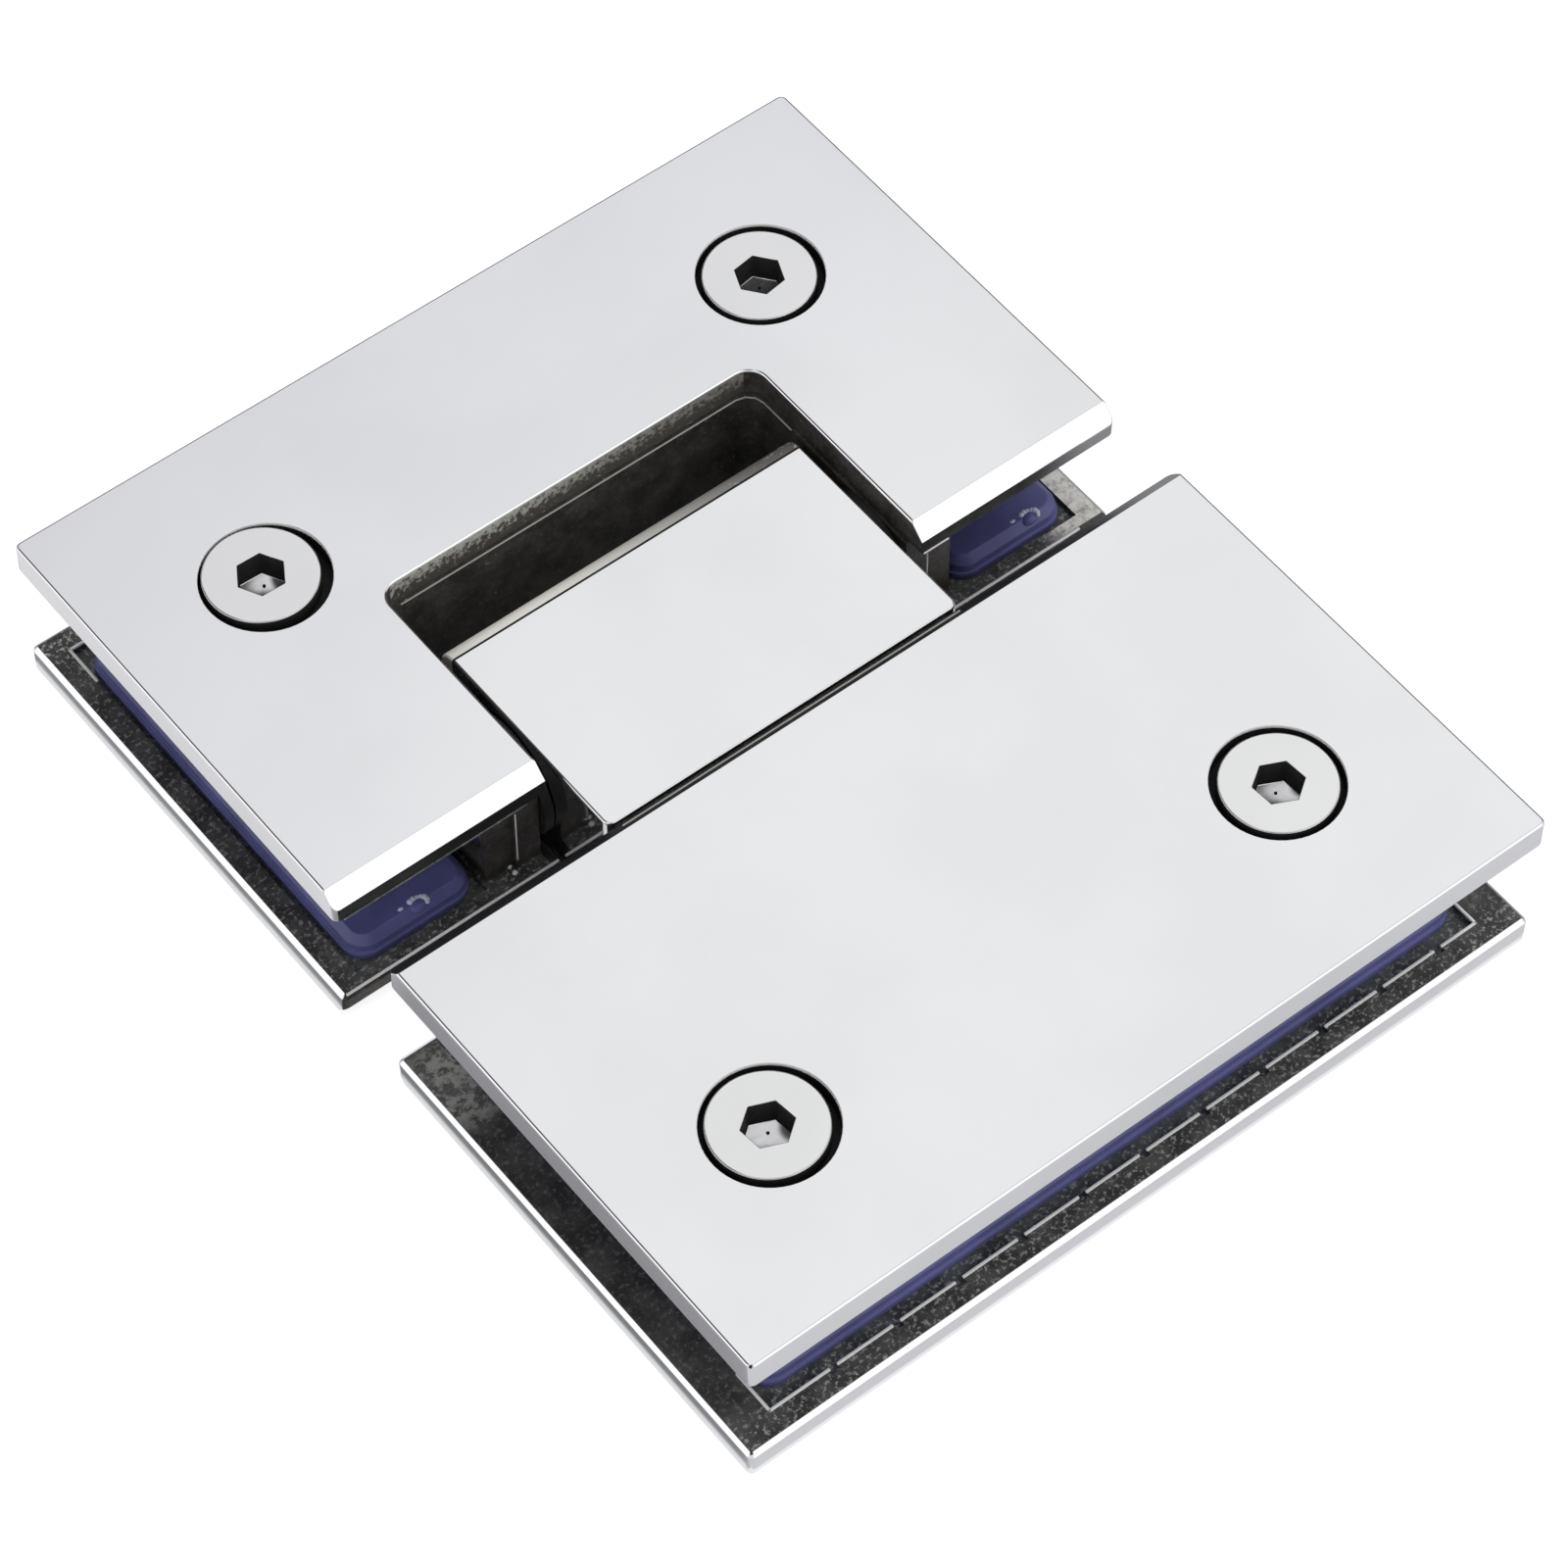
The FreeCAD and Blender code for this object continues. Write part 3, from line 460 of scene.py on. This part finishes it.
def solid_copy(node):
    """A closed copy of a solid's mesh, with its flat faces merged."""
    bm = bmesh.new()
    bm.from_mesh(frame["nodes"][node].data)
    bmesh.ops.remove_doubles(bm, verts=bm.verts, dist=WELD)
    bmesh.ops.dissolve_limit(bm, angle_limit=COPLANAR, verts=bm.verts, edges=bm.edges)
    return bm


def round_edges(bm, width, segments=2, where=lambda edge: True):
    """Round the sharp edges that pass a test."""
    edges = [edge for edge in bm.edges
             if edge.is_manifold and edge.calc_face_angle(0) > SHARP and where(edge)]
    if edges:
        bmesh.ops.bevel(bm, geom=edges, offset=width, offset_type="OFFSET", segments=segments,
                        profile=0.5, affect="EDGES", material=-1, clamp_overlap=True)


def paint(bm, index, test):
    """Give the faces that pass a test another material slot."""
    for face in bm.faces:
        if test(face, face.calc_center_median()):
            face.material_index = index


def paint_new(made, index):
    """Give the faces of a form that was just added a material slot."""
    for face in {face for vertex in made["verts"] for face in vertex.link_faces}:
        face.material_index = index


def lump(bm, at, radii, index):
    """Add one squashed ball in a material slot."""
    paint_new(bmesh.ops.create_uvsphere(bm, u_segments=16, v_segments=10, radius=1,
                                        matrix=Matrix.Translation(at) @ Matrix.Diagonal((*radii, 1))),
              index)


def rod(bm, start, stop, width, index=0):
    """Lay one thin square rod from point to point."""
    along = Vector(stop) - Vector(start)
    turn = along.to_track_quat("X", "Z").to_matrix().to_4x4()
    shape = Matrix.Diagonal((along.length + width, width, width, 1))
    middle = Matrix.Translation((Vector(start) + Vector(stop)) / 2)
    paint_new(bmesh.ops.create_cube(bm, size=1, matrix=middle @ turn @ shape), index)


def finished(name, bm, body, finishes):
    """Turn a bmesh into a shaded piece that rides on a body."""
    mesh = bpy.data.meshes.new(name)
    bm.to_mesh(mesh)
    bm.free()
    for finish in finishes:
        mesh.materials.append(finish_named(finish))
    mesh.polygons.foreach_set("use_smooth", [True] * len(mesh.polygons))
    mesh.set_sharp_from_angle(angle=math.radians(32))
    piece = bpy.data.objects.new(name, mesh)
    bpy.context.scene.collection.objects.link(piece)
    evening = piece.modifiers.new("Even shading", "WEIGHTED_NORMAL")
    evening.keep_sharp = True
    evening.weight = 100
    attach(piece, body)
    return piece


def body_of_node(node):
    """The moving body that a solid belongs to."""
    bodies = frame["record"]["behaviour"]["bodies"]
    return next(body for body, members in bodies.items() if node in members)


def dressed(node, bm, finishes):
    """Show a finished mesh in place of its solid."""
    piece = finished(node + "_finished", bm, body_of_node(node), finishes)
    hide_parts(node)
    return piece


def recoat(node, finish):
    """Give a solid that is shown as it is a new material."""
    mesh = frame["nodes"][node].data
    mesh.materials.clear()
    mesh.materials.append(finish_named(finish))


def scene_sizes():
    """The sizes that the panel holds."""
    return bpy.context.scene.hinge_sizes


def screw_axes(leaf):
    """Where the axes of a leaf's two clamp screws stand."""
    return [sum(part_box(f"{leaf}_clamp_screw_{side}"), Vector()) / 2 for side, _ in SIDES]


def from_axis(at, axes):
    """How far a point is from the nearest of some upright axes."""
    return min((at - axis).to_2d().length for axis in axes)


class HINGE_OT_front_plates(bpy.types.Operator):
    """Finish the two cover plates, polished outside and cast on their hidden side"""
    bl_idname = "hinge.front_plates"
    bl_label = "Front Plates"

    def execute(self, context):
        sizes = scene_sizes()
        for leaf in LEAVES:
            node = f"{leaf}_front_plate"
            low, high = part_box(node)
            bm = solid_copy(node)
            # Slots: 0 chrome, 1 cast, 2 rim, 3 painted shade in the counterbores and dark nicks, 4 notch
            # wall, 5 painted shade under the bevels, 6 painted highlight at the top of the counterbores
            paint(bm, 1, lambda face, at: face.normal.z < -FLAT)
            if leaf == "notched":
                # The notch reaches a little past the washers, and past the knuckle block's end
                half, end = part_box("thrust_washer_right")[1].x + 1 * MM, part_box("knuckle_block")[1].y
                paint(bm, 2, lambda face, at: abs(face.normal.z) < STEEP and abs(at.x) < half
                      and low.y + 1 * MM < at.y < end + 12 * MM)
                paint(bm, 4, lambda face, at: -face.normal.y > FLAT and abs(face.normal.z) < STEEP
                      and at.y > end)
                # Painted shade on the faces under the near bevel, lifting towards the right end
                paint(bm, 5, lambda face, at: -face.normal.y > FLAT and at.y < low.y + 1 * MM)
            else:
                # Painted shade on the far bevel beside the knuckle block
                paint(bm, 5, lambda face, at: face.normal.y > 0.3 and at.y > high.y - 2 * MM)
            axes = screw_axes(leaf)
            # Below this height a counterbore's wall gets painted shade, and above it a painted highlight
            lip = high.z - sizes.bore_highlight_depth
            wall = [face for face in bm.faces if abs(face.normal.z) < STEEP
                    and from_axis(face.calc_center_median(), axes) < BORE_REACH]
            bmesh.ops.bisect_plane(bm, geom=wall + list({edge for face in wall for edge in face.edges}),
                                   dist=WELD, plane_co=(0, 0, lip), plane_no=(0, 0, 1))
            paint(bm, 3, lambda face, at: from_axis(at, axes) < BORE_REACH and at.z < lip
                  and face.normal.z > -FLAT)
            paint(bm, 6, lambda face, at: from_axis(at, axes) < BORE_REACH and at.z > lip
                  and abs(face.normal.z) < STEEP)
            round_edges(bm, sizes.edge_round)
            if leaf == "plain":
                corner = Vector((low.x + 0.4 * MM, low.y + 0.4 * MM, high.z - 0.25 * MM))
                lump(bm, corner, Vector((0.28, 0.28, 0.24)) * MM, 3)
                lump(bm, corner + Vector((-0.1, -0.1, -0.5)) * MM, Vector((0.12, 0.12, 0.5)) * MM, 3)
            dressed(node, bm, ("chrome", f"{leaf}_cast", "rim", "shade_and_marks", "notch_wall",
                                                  "bevel_painted_shade", "bead"))
        return {"FINISHED"}


class HINGE_OT_back_plates(bpy.types.Operator):
    """Finish the two back plates, cast on the side that faces the glass"""
    bl_idname = "hinge.back_plates"
    bl_label = "Back Plates"

    def execute(self, context):
        for leaf in LEAVES:
            node = f"{leaf}_back_plate"
            bm = solid_copy(node)
            # Slots: 0 chrome, 1 cast, 2 seat, 3 rim, also painted shade on the notched leaf's near side
            paint(bm, 1, lambda face, at: face.normal.z > FLAT and at.z > LEDGE - 0.2 * MM)
            paint(bm, 2, lambda face, at: SEAT_FLOOR - 0.1 * MM < at.z < LEDGE - 0.2 * MM
                  and (face.normal.z > FLAT or abs(face.normal.z) < STEEP)
                  and self.inside_seat(at))
            paint(bm, 3, lambda face, at: at.z > LEDGE + 0.1 * MM)
            if leaf == "notched":
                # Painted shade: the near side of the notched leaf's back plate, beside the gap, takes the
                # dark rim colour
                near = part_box(node)[0].y + 1.2 * MM
                paint(bm, 3, lambda face, at: -face.normal.y > 0.3 and at.y < near)
            round_edges(bm, scene_sizes().back_round, 3)
            if leaf == "plain":
                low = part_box(node)[0]
                corner = Vector((low.x + 0.5 * MM, low.y + 0.5 * MM, LEDGE - 0.2 * MM))
                lump(bm, corner, Vector((0.2, 0.2, 0.2)) * MM, 3)
            dressed(node, bm, ("chrome", f"{leaf}_cast", "seat", "rim"))
        return {"FINISHED"}

    def inside_seat(self, at):
        """Whether a point lies within the outer edges of the leaves' seats."""
        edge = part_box("notched_back_gasket")[1]
        return abs(at.x) < edge.x + 1 * MM and abs(at.y) < edge.y + 2.4 * MM


class HINGE_OT_gaskets(bpy.types.Operator):
    """Mould the four gaskets, each with a lip round its foot and two nubs"""
    bl_idname = "hinge.gaskets"
    bl_label = "Gaskets"

    def execute(self, context):
        sizes = scene_sizes()
        for leaf in LEAVES:
            for face_name, up in (("back", 1), ("front", -1)):
                node = f"{leaf}_{face_name}_gasket"
                low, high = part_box(node)
                foot = low.z if up > 0 else high.z
                bm = solid_copy(node)
                self.add_lip(bm, foot, up, sizes, screw_axes(leaf))
                round_edges(bm, sizes.gasket_round, 3)
                self.add_nubs(bm, leaf, foot, up, sizes.nub_radius)
                dressed(node, bm, ("gasket", "nub"))
        return {"FINISHED"}

    def add_lip(self, bm, foot, up, sizes, axes):
        """Push the foot of the outer wall outwards."""
        lip_top = Vector((0, 0, foot + up * sizes.lip_height))
        bmesh.ops.bisect_plane(bm, geom=bm.verts[:] + bm.edges[:] + bm.faces[:], dist=WELD,
                               plane_co=lip_top, plane_no=(0, 0, 1))
        wall = [face for face in bm.faces if abs(face.normal.z) < STEEP
                and (face.calc_center_median().z - lip_top.z) * up < 0
                and from_axis(face.calc_center_median(), axes) > CLEARANCE_REACH]
        bmesh.ops.inset_region(bm, faces=wall, thickness=0, depth=sizes.lip_width, use_even_offset=True)

    def add_nubs(self, bm, leaf, foot, up, radius):
        """Leave a small torn nub on the sloping edge of each arm: a lump, and round it a pale crescent and
        small pale lumps painted as highlights.
        """
        low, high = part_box(f"{leaf}_back_gasket")
        end, inwards = (low.y, 1) if leaf == "notched" else (high.y, -1)
        height = foot + up * (high.z - low.z - 0.4 * MM)
        for _, side in SIDES:
            middle = Vector((side * (high.x - 5.6 * MM) + 1.7 * MM, end + inwards * 0.7 * MM, height))
            lump(bm, middle, Vector((radius, radius * 0.7, radius * 0.6)), 0)
            for step in range(7):
                turn = math.radians(-30 + 25 * step)
                at = middle + Vector((math.cos(turn), inwards * math.sin(turn) * 0.7, up * 0.35)) * radius
                size = radius * (0.24 + 0.12 * math.sin(2.3 * step) ** 2)
                lump(bm, at, Vector((size, size, size * 0.9)), 1)
            for shift, share in ((-1.7, 0.3), (-2.3, 0.22), (-2.1, 0.16)):
                at = middle + Vector((shift, inwards * (0.2 + share), up * 0.2)) * radius
                lump(bm, at, Vector((share * 1.6, share, share)) * radius, 1)


class HINGE_OT_clamp_screws(bpy.types.Operator):
    """Finish the four clamp screws, with painted shade on their sides and in their sockets, and a bore mark
    in each
    """
    bl_idname = "hinge.clamp_screws"
    bl_label = "Clamp Screws"

    def execute(self, context):
        sizes = scene_sizes()
        for leaf in LEAVES:
            for side, _ in SIDES:
                node = f"{leaf}_clamp_screw_{side}"
                low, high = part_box(node)
                bm = solid_copy(node)
                # Painted shade on every upright face: the head's side in the counterbore and the socket's
                # walls
                paint(bm, 1, lambda face, at: abs(face.normal.z) < STEEP)
                bottom = [face for face in bm.faces if face.normal.z > FLAT
                          and face.calc_center_median().z < high.z - 1 * MM]
                depth = bottom[0].calc_center_median().z
                bmesh.ops.poke(bm, faces=bottom, offset=-sizes.drill_point)
                rim = (high.x - low.x) / 2 - 0.5 * MM
                axis = [(low + high) / 2]
                round_edges(bm, sizes.head_round, 3,
                            lambda edge: all(from_axis(v.co, axis) > rim and v.co.z > high.z - 1 * MM
                                             for v in edge.verts))
                round_edges(bm, sizes.edge_round, 2,
                            lambda edge: all(from_axis(v.co, axis) < rim for v in edge.verts))
                mark = axis[0] + Vector((0.62, 0.78, 0)) * 1.2 * MM
                mark.z = depth - sizes.drill_point * 0.4
                paint_new(bmesh.ops.create_circle(bm, cap_ends=True, segments=20,
                                                  radius=sizes.bore_mark,
                                                  matrix=Matrix.Translation(mark)), 1)
                dressed(node, bm, ("screw", "shade_and_marks"))
        return {"FINISHED"}


class HINGE_OT_knuckle_block(bpy.types.Operator):
    """Finish the block that turns in the notch"""
    bl_idname = "hinge.knuckle_block"
    bl_label = "Knuckle Block"

    def execute(self, context):
        node = "knuckle_block"
        bm = solid_copy(node)
        low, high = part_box(node)
        front = low.y + 17 * MM     # the tang ends here, and the polished block begins
        turn = high.y - 2.2 * MM    # the top bends down here
        line = 0.25 * MM            # half the width of the painted shade line along the bend
        bmesh.ops.bisect_plane(bm, geom=bm.verts[:] + bm.edges[:] + bm.faces[:], dist=WELD,
                               plane_co=(0, turn + line, 0), plane_no=(0, 1, 0))
        paint(bm, 1, lambda face, at: at.y < front)
        # Painted reflection along the far edge, pale at the left and fading to the right
        paint(bm, 2, lambda face, at: at.y > turn + line and at.z > high.z - 1.5 * MM)
        # Painted shade: a dark line along the bend
        paint(bm, 3, lambda face, at: turn - line < at.y < turn + line and at.z > high.z - 0.3 * MM
              and face.calc_area() < 30 * MM * MM)
        round_edges(bm, scene_sizes().edge_round * 0.5, 2,
                    lambda edge: all(vertex.co.y < front + 1 * MM for vertex in edge.verts))
        dressed(node, bm, ("knuckle", "plain_cast", "knuckle_end_reflection", "shade_and_marks"))
        return {"FINISHED"}


class HINGE_OT_seat_beads(bpy.types.Operator):
    """Add the broken bead along each gasket seat, painted bright as a highlight, and thin lines painted as
    highlights along the castings' edges
    """
    bl_idname = "hinge.seat_beads"
    bl_label = "Seat Beads"

    def execute(self, context):
        sizes = scene_sizes()
        for leaf, side in (("notched", 1), ("plain", -1)):
            gasket_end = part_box(f"{leaf}_back_gasket")[1].x
            end, edge = gasket_end + 0.8 * MM, side * (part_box("notched_back_plate")[1].y - 2.7 * MM)
            pitch, shift, half_break = 7, 1.2, 0.55 * MM    # the bead is broken every 7 mm
            breaks = [(shift + pitch * step) * MM for step in range(-5, 6)]
            starts = [-end] + [at + half_break for at in breaks]
            ends = [at - half_break for at in breaks] + [end]
            turn = edge - side * sizes.bead_turn
            stretches = [((start, edge), (stop, edge)) for start, stop in zip(starts, ends)]
            stretches += [((x, turn), (x, edge)) for x in (-end, end)]
            bm = bmesh.new()
            for (x0, y0), (x1, y1) in stretches:
                middle = Vector(((x0 + x1) / 2, (y0 + y1) / 2, LEDGE))
                shape = Matrix.Diagonal((abs(x1 - x0) + sizes.bead_width, abs(y1 - y0) + sizes.bead_width,
                                         sizes.bead_width, 1))
                bmesh.ops.create_cube(bm, size=1, matrix=Matrix.Translation(middle) @ shape)
            if leaf == "notched":
                self.mark_rim(bm)
                self.mark_lugs(bm)
            else:
                self.mark_seam(bm)
            round_edges(bm, sizes.bead_width * 0.3)
            finished(f"{leaf}_seat_bead", bm, f"{leaf}_leaf",
                     ("bead", "rim_highlight_line", "seat"))
        return {"FINISHED"}

    def mark_rim(self, bm):
        """Light the rim wall's inner top edge and the near edges of the notched leaf's plates."""
        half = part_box("knuckle_block")[1].x + 1.2 * MM
        end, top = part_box("notched_back_plate")[0].y + 25.2 * MM, COVER_UNDERSIDE
        bend = 1.9 * MM
        path = [(-half + bend, end, top), (half - bend, end, top)]
        path += [(half - bend + bend * math.sin(turn), end - bend + bend * math.cos(turn), top)
                 for turn in (math.radians(30), math.radians(60), math.radians(90))]
        path.append((half, end - 6 * MM, top))
        for start, stop in zip(path, path[1:]):
            rod(bm, start, stop, 0.17 * MM, 1)
        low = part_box("notched_back_plate")[0]
        near = low.y + 0.25 * MM
        for start, stop in ((low.x + 0.6 * MM, -20.7 * MM), (20.9 * MM, 41.5 * MM)):
            rod(bm, (start, near, LEDGE), (stop, near, LEDGE), 0.26 * MM)
        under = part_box("notched_front_plate")[0]
        height = under.z + 0.15 * MM
        for start, stop, slot in ((under.x + 1 * MM, -24 * MM, 2), (half + 0.6 * MM, 24.8 * MM, 0)):
            rod(bm, (start, under.y, height), (stop, under.y, height), 0.2 * MM, slot)

    def mark_seam(self, bm):
        """Light the middle of the plain leaf's far bevel beside the knuckle block."""
        half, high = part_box("knuckle_block")[1].x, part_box("plain_front_plate")[1]
        middle = (high.y - 0.7 * MM, high.z - 0.7 * MM)
        rod(bm, (0.6 * MM - half, *middle), (half - 1.2 * MM, *middle), 0.2 * MM, 1)

    def mark_lugs(self, bm):
        """Run a thin line painted as a highlight down the end of the rim by each lug, with two bright drops
        at its foot.
        """
        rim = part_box("thrust_washer_right")[1].x + 2.7 * MM
        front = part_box("notched_back_plate")[0].y + 1.9 * MM
        for _, side in SIDES:
            line = Matrix.Diagonal((0.16 * MM, 0.16 * MM, 7.3 * MM, 1))
            middle = Matrix.Translation((side * rim, front, 8.35 * MM))
            bmesh.ops.create_cube(bm, size=1, matrix=middle @ line)
            for along in (0.6, -0.3):
                drop = Vector((side * (rim + 0.6 * MM), front + along * MM, LEDGE))
                lump(bm, drop, Vector((0.28, 0.28, 0.28)) * MM, 0)


class HINGE_OT_inner_parts(bpy.types.Operator):
    """Finish the sleeves, the pin with its bushes and washers, and the detent"""
    bl_idname = "hinge.inner_parts"
    bl_label = "Inner Parts"

    def execute(self, context):
        recoat("pivot_pin", "steel")
        recoat("detent_shoe", "brass")
        for side, _ in SIDES:
            for leaf in LEAVES:
                recoat(f"{leaf}_glass_sleeve_{side}", "nylon")
            recoat(f"pivot_bush_{side}", "bronze")
            recoat(f"thrust_washer_{side}", "washer")
            recoat(f"detent_spring_{side}", "steel")
            for screw in ("pin_lock_screw", "knuckle_fixing_screw", "spring_adjusting_screw"):
                recoat(f"{screw}_{side}", "black_steel")
        return {"FINISHED"}


class HINGE_OT_stage(bpy.types.Operator):
    """Lay the floor, light the hinge and set up the camera"""
    bl_idname = "hinge.stage"
    bl_label = "Stage"

    def execute(self, context):
        stage = context.scene.hinge_stage
        self.lay_floor(stage)
        self.light_world(context.scene)
        self.hang_lamp("overhead_lamp", (0.3, -0.35, 0.8), 0.8, 1.6)
        self.set_camera(context.scene, stage)
        context.scene.view_settings.view_transform = "Standard"
        return {"FINISHED"}

    def lay_floor(self, stage):
        bm = bmesh.new()
        bmesh.ops.create_grid(bm, x_segments=1, y_segments=1, size=stage.floor_size,
                              matrix=Matrix.Translation((0, 0, -0.02 * MM)))
        mesh = bpy.data.meshes.new("floor")
        bm.to_mesh(mesh)
        bm.free()
        made = bpy.data.materials.new("floor")
        made.use_nodes = True
        nodes = Nodes(made.node_tree)
        shader = made.node_tree.nodes["Principled BSDF"]
        shader.inputs["Base Color"].default_value = (*stage.floor, 1)
        shader.inputs["Roughness"].default_value = 0.9
        shader.inputs["Specular IOR Level"].default_value = 0.1
        # The floor shines for the camera and for mirror rays, but not in the gap and the notch, which leaves
        # a painted shadow there
        seen = nodes.add("ShaderNodeLightPath")
        glow = nodes.add("ShaderNodeEmission")
        bare = nodes.math("ADD", seen.outputs["Is Camera Ray"], seen.outputs["Is Transmission Ray"])
        place = nodes.split(nodes.add("ShaderNodeTexCoord").outputs["Object"])
        reach = SOLID_BOX[1]
        past = nodes.math("MAXIMUM", *[
            nodes.math("SUBTRACT", nodes.math("ABSOLUTE", place[axis]), edge)
            for axis, edge in (("X", reach.x), ("Y", reach.y))])
        # Mirror rays meet painted light and shade by place: a thin bright foot, and weak light in front and
        # on the left
        foot = nodes.remap(past, 0.8 * MM, 0.4 * MM, 0, 0.6)
        front = nodes.remap(place["Y"], -52 * MM, -56 * MM, 0.02, 0.32)
        left = nodes.math("MULTIPLY", nodes.remap(place["X"], -45 * MM, -49 * MM),
                          nodes.remap(place["Y"], 2 * MM, 14 * MM, 0.06, 0.5))
        around = nodes.math("MAXIMUM", nodes.math("MAXIMUM", front, left), foot)
        metal = nodes.math("MULTIPLY", seen.outputs["Is Glossy Ray"], around)
        opening = 13.5 * MM     # the middle of the gap and the notch together
        across = nodes.math("ABSOLUTE", nodes.math("SUBTRACT", place["Y"], opening))
        outside_painted_shadow = nodes.math("MAXIMUM",
                                  nodes.remap(nodes.math("ABSOLUTE", place["X"]), 27 * MM, 30 * MM),
                                  nodes.remap(across, 17.8 * MM, 20.5 * MM))
        strength = nodes.math("ADD", nodes.math("MULTIPLY", bare, 0.85), metal)
        nodes.link(nodes.math("MULTIPLY", strength, outside_painted_shadow), glow.inputs["Strength"])
        lit = nodes.add("ShaderNodeAddShader")
        nodes.link(shader.outputs["BSDF"], lit.inputs[0])
        nodes.link(glow.outputs["Emission"], lit.inputs[1])
        clear = nodes.add("ShaderNodeBsdfTransparent")
        below = nodes.add("ShaderNodeNewGeometry").outputs["Backfacing"]
        shown = nodes.add("ShaderNodeMixShader")
        nodes.link(below, shown.inputs[0])
        nodes.link(lit.outputs["Shader"], shown.inputs[1])
        nodes.link(clear.outputs["BSDF"], shown.inputs[2])
        nodes.link(shown.outputs["Shader"], made.node_tree.nodes["Material Output"].inputs["Surface"])
        mesh.materials.append(made)
        floor = bpy.data.objects.new("floor", mesh)
        bpy.context.scene.collection.objects.link(floor)

    def light_world(self, scene):
        """A pale studio all round, with bright panels and dark flags for the chrome to show."""
        world = bpy.data.worlds.new("studio")
        world.use_nodes = True
        scene.world = world
        nodes = Nodes(world.node_tree)
        direction = nodes.add("ShaderNodeTexCoord").outputs["Generated"]

        colour = (0.79, 0.79, 0.815, 1)
        for at, inner, outer, shade in (
                ((0.385, 0.36, 0.85), 2, 14, (0.95, 0.955, 0.96, 1)),      # a sheen on the plates
                ((-0.82, 0.45, 0.3), 15, 28, (1.2, 1.2, 1.2, 1)),          # a panel on the left
                ((0.36, -0.82, 0.45), 18, 36, (1.25, 1.25, 1.25, 1)),      # a panel in front
                ((-0.4, 0.45, 0.8), 18, 26, (0.06, 0.06, 0.065, 1)),       # a dark flag on the left
                ((-0.358, -0.449, 0.819), 10, 15, (0.04, 0.04, 0.045, 1))):  # where the camera stands
            share = nodes.remap(nodes.towards(direction, Vector(at).normalized()),
                                math.cos(math.radians(outer)), math.cos(math.radians(inner)))
            colour = nodes.mix(share, colour, shade)
        # A dark wall ahead of the camera, low down
        ahead = nodes.towards(direction, (0.6, 0.8, 0))
        wall = nodes.math("MULTIPLY", nodes.remap(ahead, 0.3, 0.55),
                          nodes.remap(nodes.split(direction)["Z"], 0.6, 0.5))
        colour = nodes.mix(wall, colour, (0.05, 0.05, 0.055, 1))
        seen = nodes.add("ShaderNodeLightPath")
        colour = nodes.mix(seen.outputs["Is Camera Ray"], colour, (1, 1, 1, 1))
        nodes.link(colour, world.node_tree.nodes["Background"].inputs["Color"])

    def hang_lamp(self, name, place, size, watts):
        lamp = bpy.data.lights.new(name, "AREA")
        lamp.shape = "DISK"
        lamp.size = size
        lamp.energy = watts
        made = bpy.data.objects.new(name, lamp)
        bpy.context.scene.collection.objects.link(made)
        made.location = place
        made.rotation_euler = (-Vector(place)).to_track_quat("-Z", "Y").to_euler()
        made.visible_glossy = False

    def set_camera(self, scene, stage):
        camera = bpy.data.objects.new("camera", bpy.data.cameras.new("camera"))
        scene.collection.objects.link(camera)
        camera.data.lens = stage.lens
        camera.data.sensor_width = 36
        camera.data.clip_start = 0.01
        back = Vector((math.sin(stage.azimuth) * math.cos(stage.elevation),
                       -math.cos(stage.azimuth) * math.cos(stage.elevation), math.sin(stage.elevation)))
        camera.location = Vector(stage.aim) + back * stage.distance
        turn = (-back).to_track_quat("-Z", "Y").to_matrix() @ Matrix.Rotation(stage.roll, 3, "Z")
        camera.rotation_euler = turn.to_euler()
        scene.camera = camera


PIECES = (HINGE_OT_front_plates, HINGE_OT_back_plates, HINGE_OT_gaskets, HINGE_OT_clamp_screws,
          HINGE_OT_knuckle_block, HINGE_OT_seat_beads, HINGE_OT_inner_parts, HINGE_OT_stage)


class VIEW3D_PT_hinge(bpy.types.Panel):
    """The hinge's pieces, in the order in which they are made"""
    bl_label = "Glass Door Hinge"
    bl_space_type = "VIEW_3D"
    bl_region_type = "UI"
    bl_category = "Hinge"

    def draw(self, context):
        for piece in PIECES:
            self.layout.operator(piece.bl_idname)
        for group in (context.scene.hinge_finish, context.scene.hinge_sizes, context.scene.hinge_stage):
            column = self.layout.column()
            for name in group.bl_rna.properties.keys():
                if name not in ("rna_type", "name"):
                    column.prop(group, name)


CLASSES = (HingeFinish, HingeSizes, HingeStage, *PIECES, VIEW3D_PT_hinge)
GROUPS = {"hinge_finish": HingeFinish, "hinge_sizes": HingeSizes, "hinge_stage": HingeStage}


def register():
    for cls in CLASSES:
        bpy.utils.register_class(cls)
    for name, group in GROUPS.items():
        setattr(bpy.types.Scene, name, bpy.props.PointerProperty(type=group))


def unregister():
    for name in GROUPS:
        delattr(bpy.types.Scene, name)
    for cls in reversed(CLASSES):
        bpy.utils.unregister_class(cls)


def main():
    register()
    for piece in PIECES:
        area, action = piece.bl_idname.split(".")
        getattr(getattr(bpy.ops, area), action)()


if __name__ == "__main__":
    main()
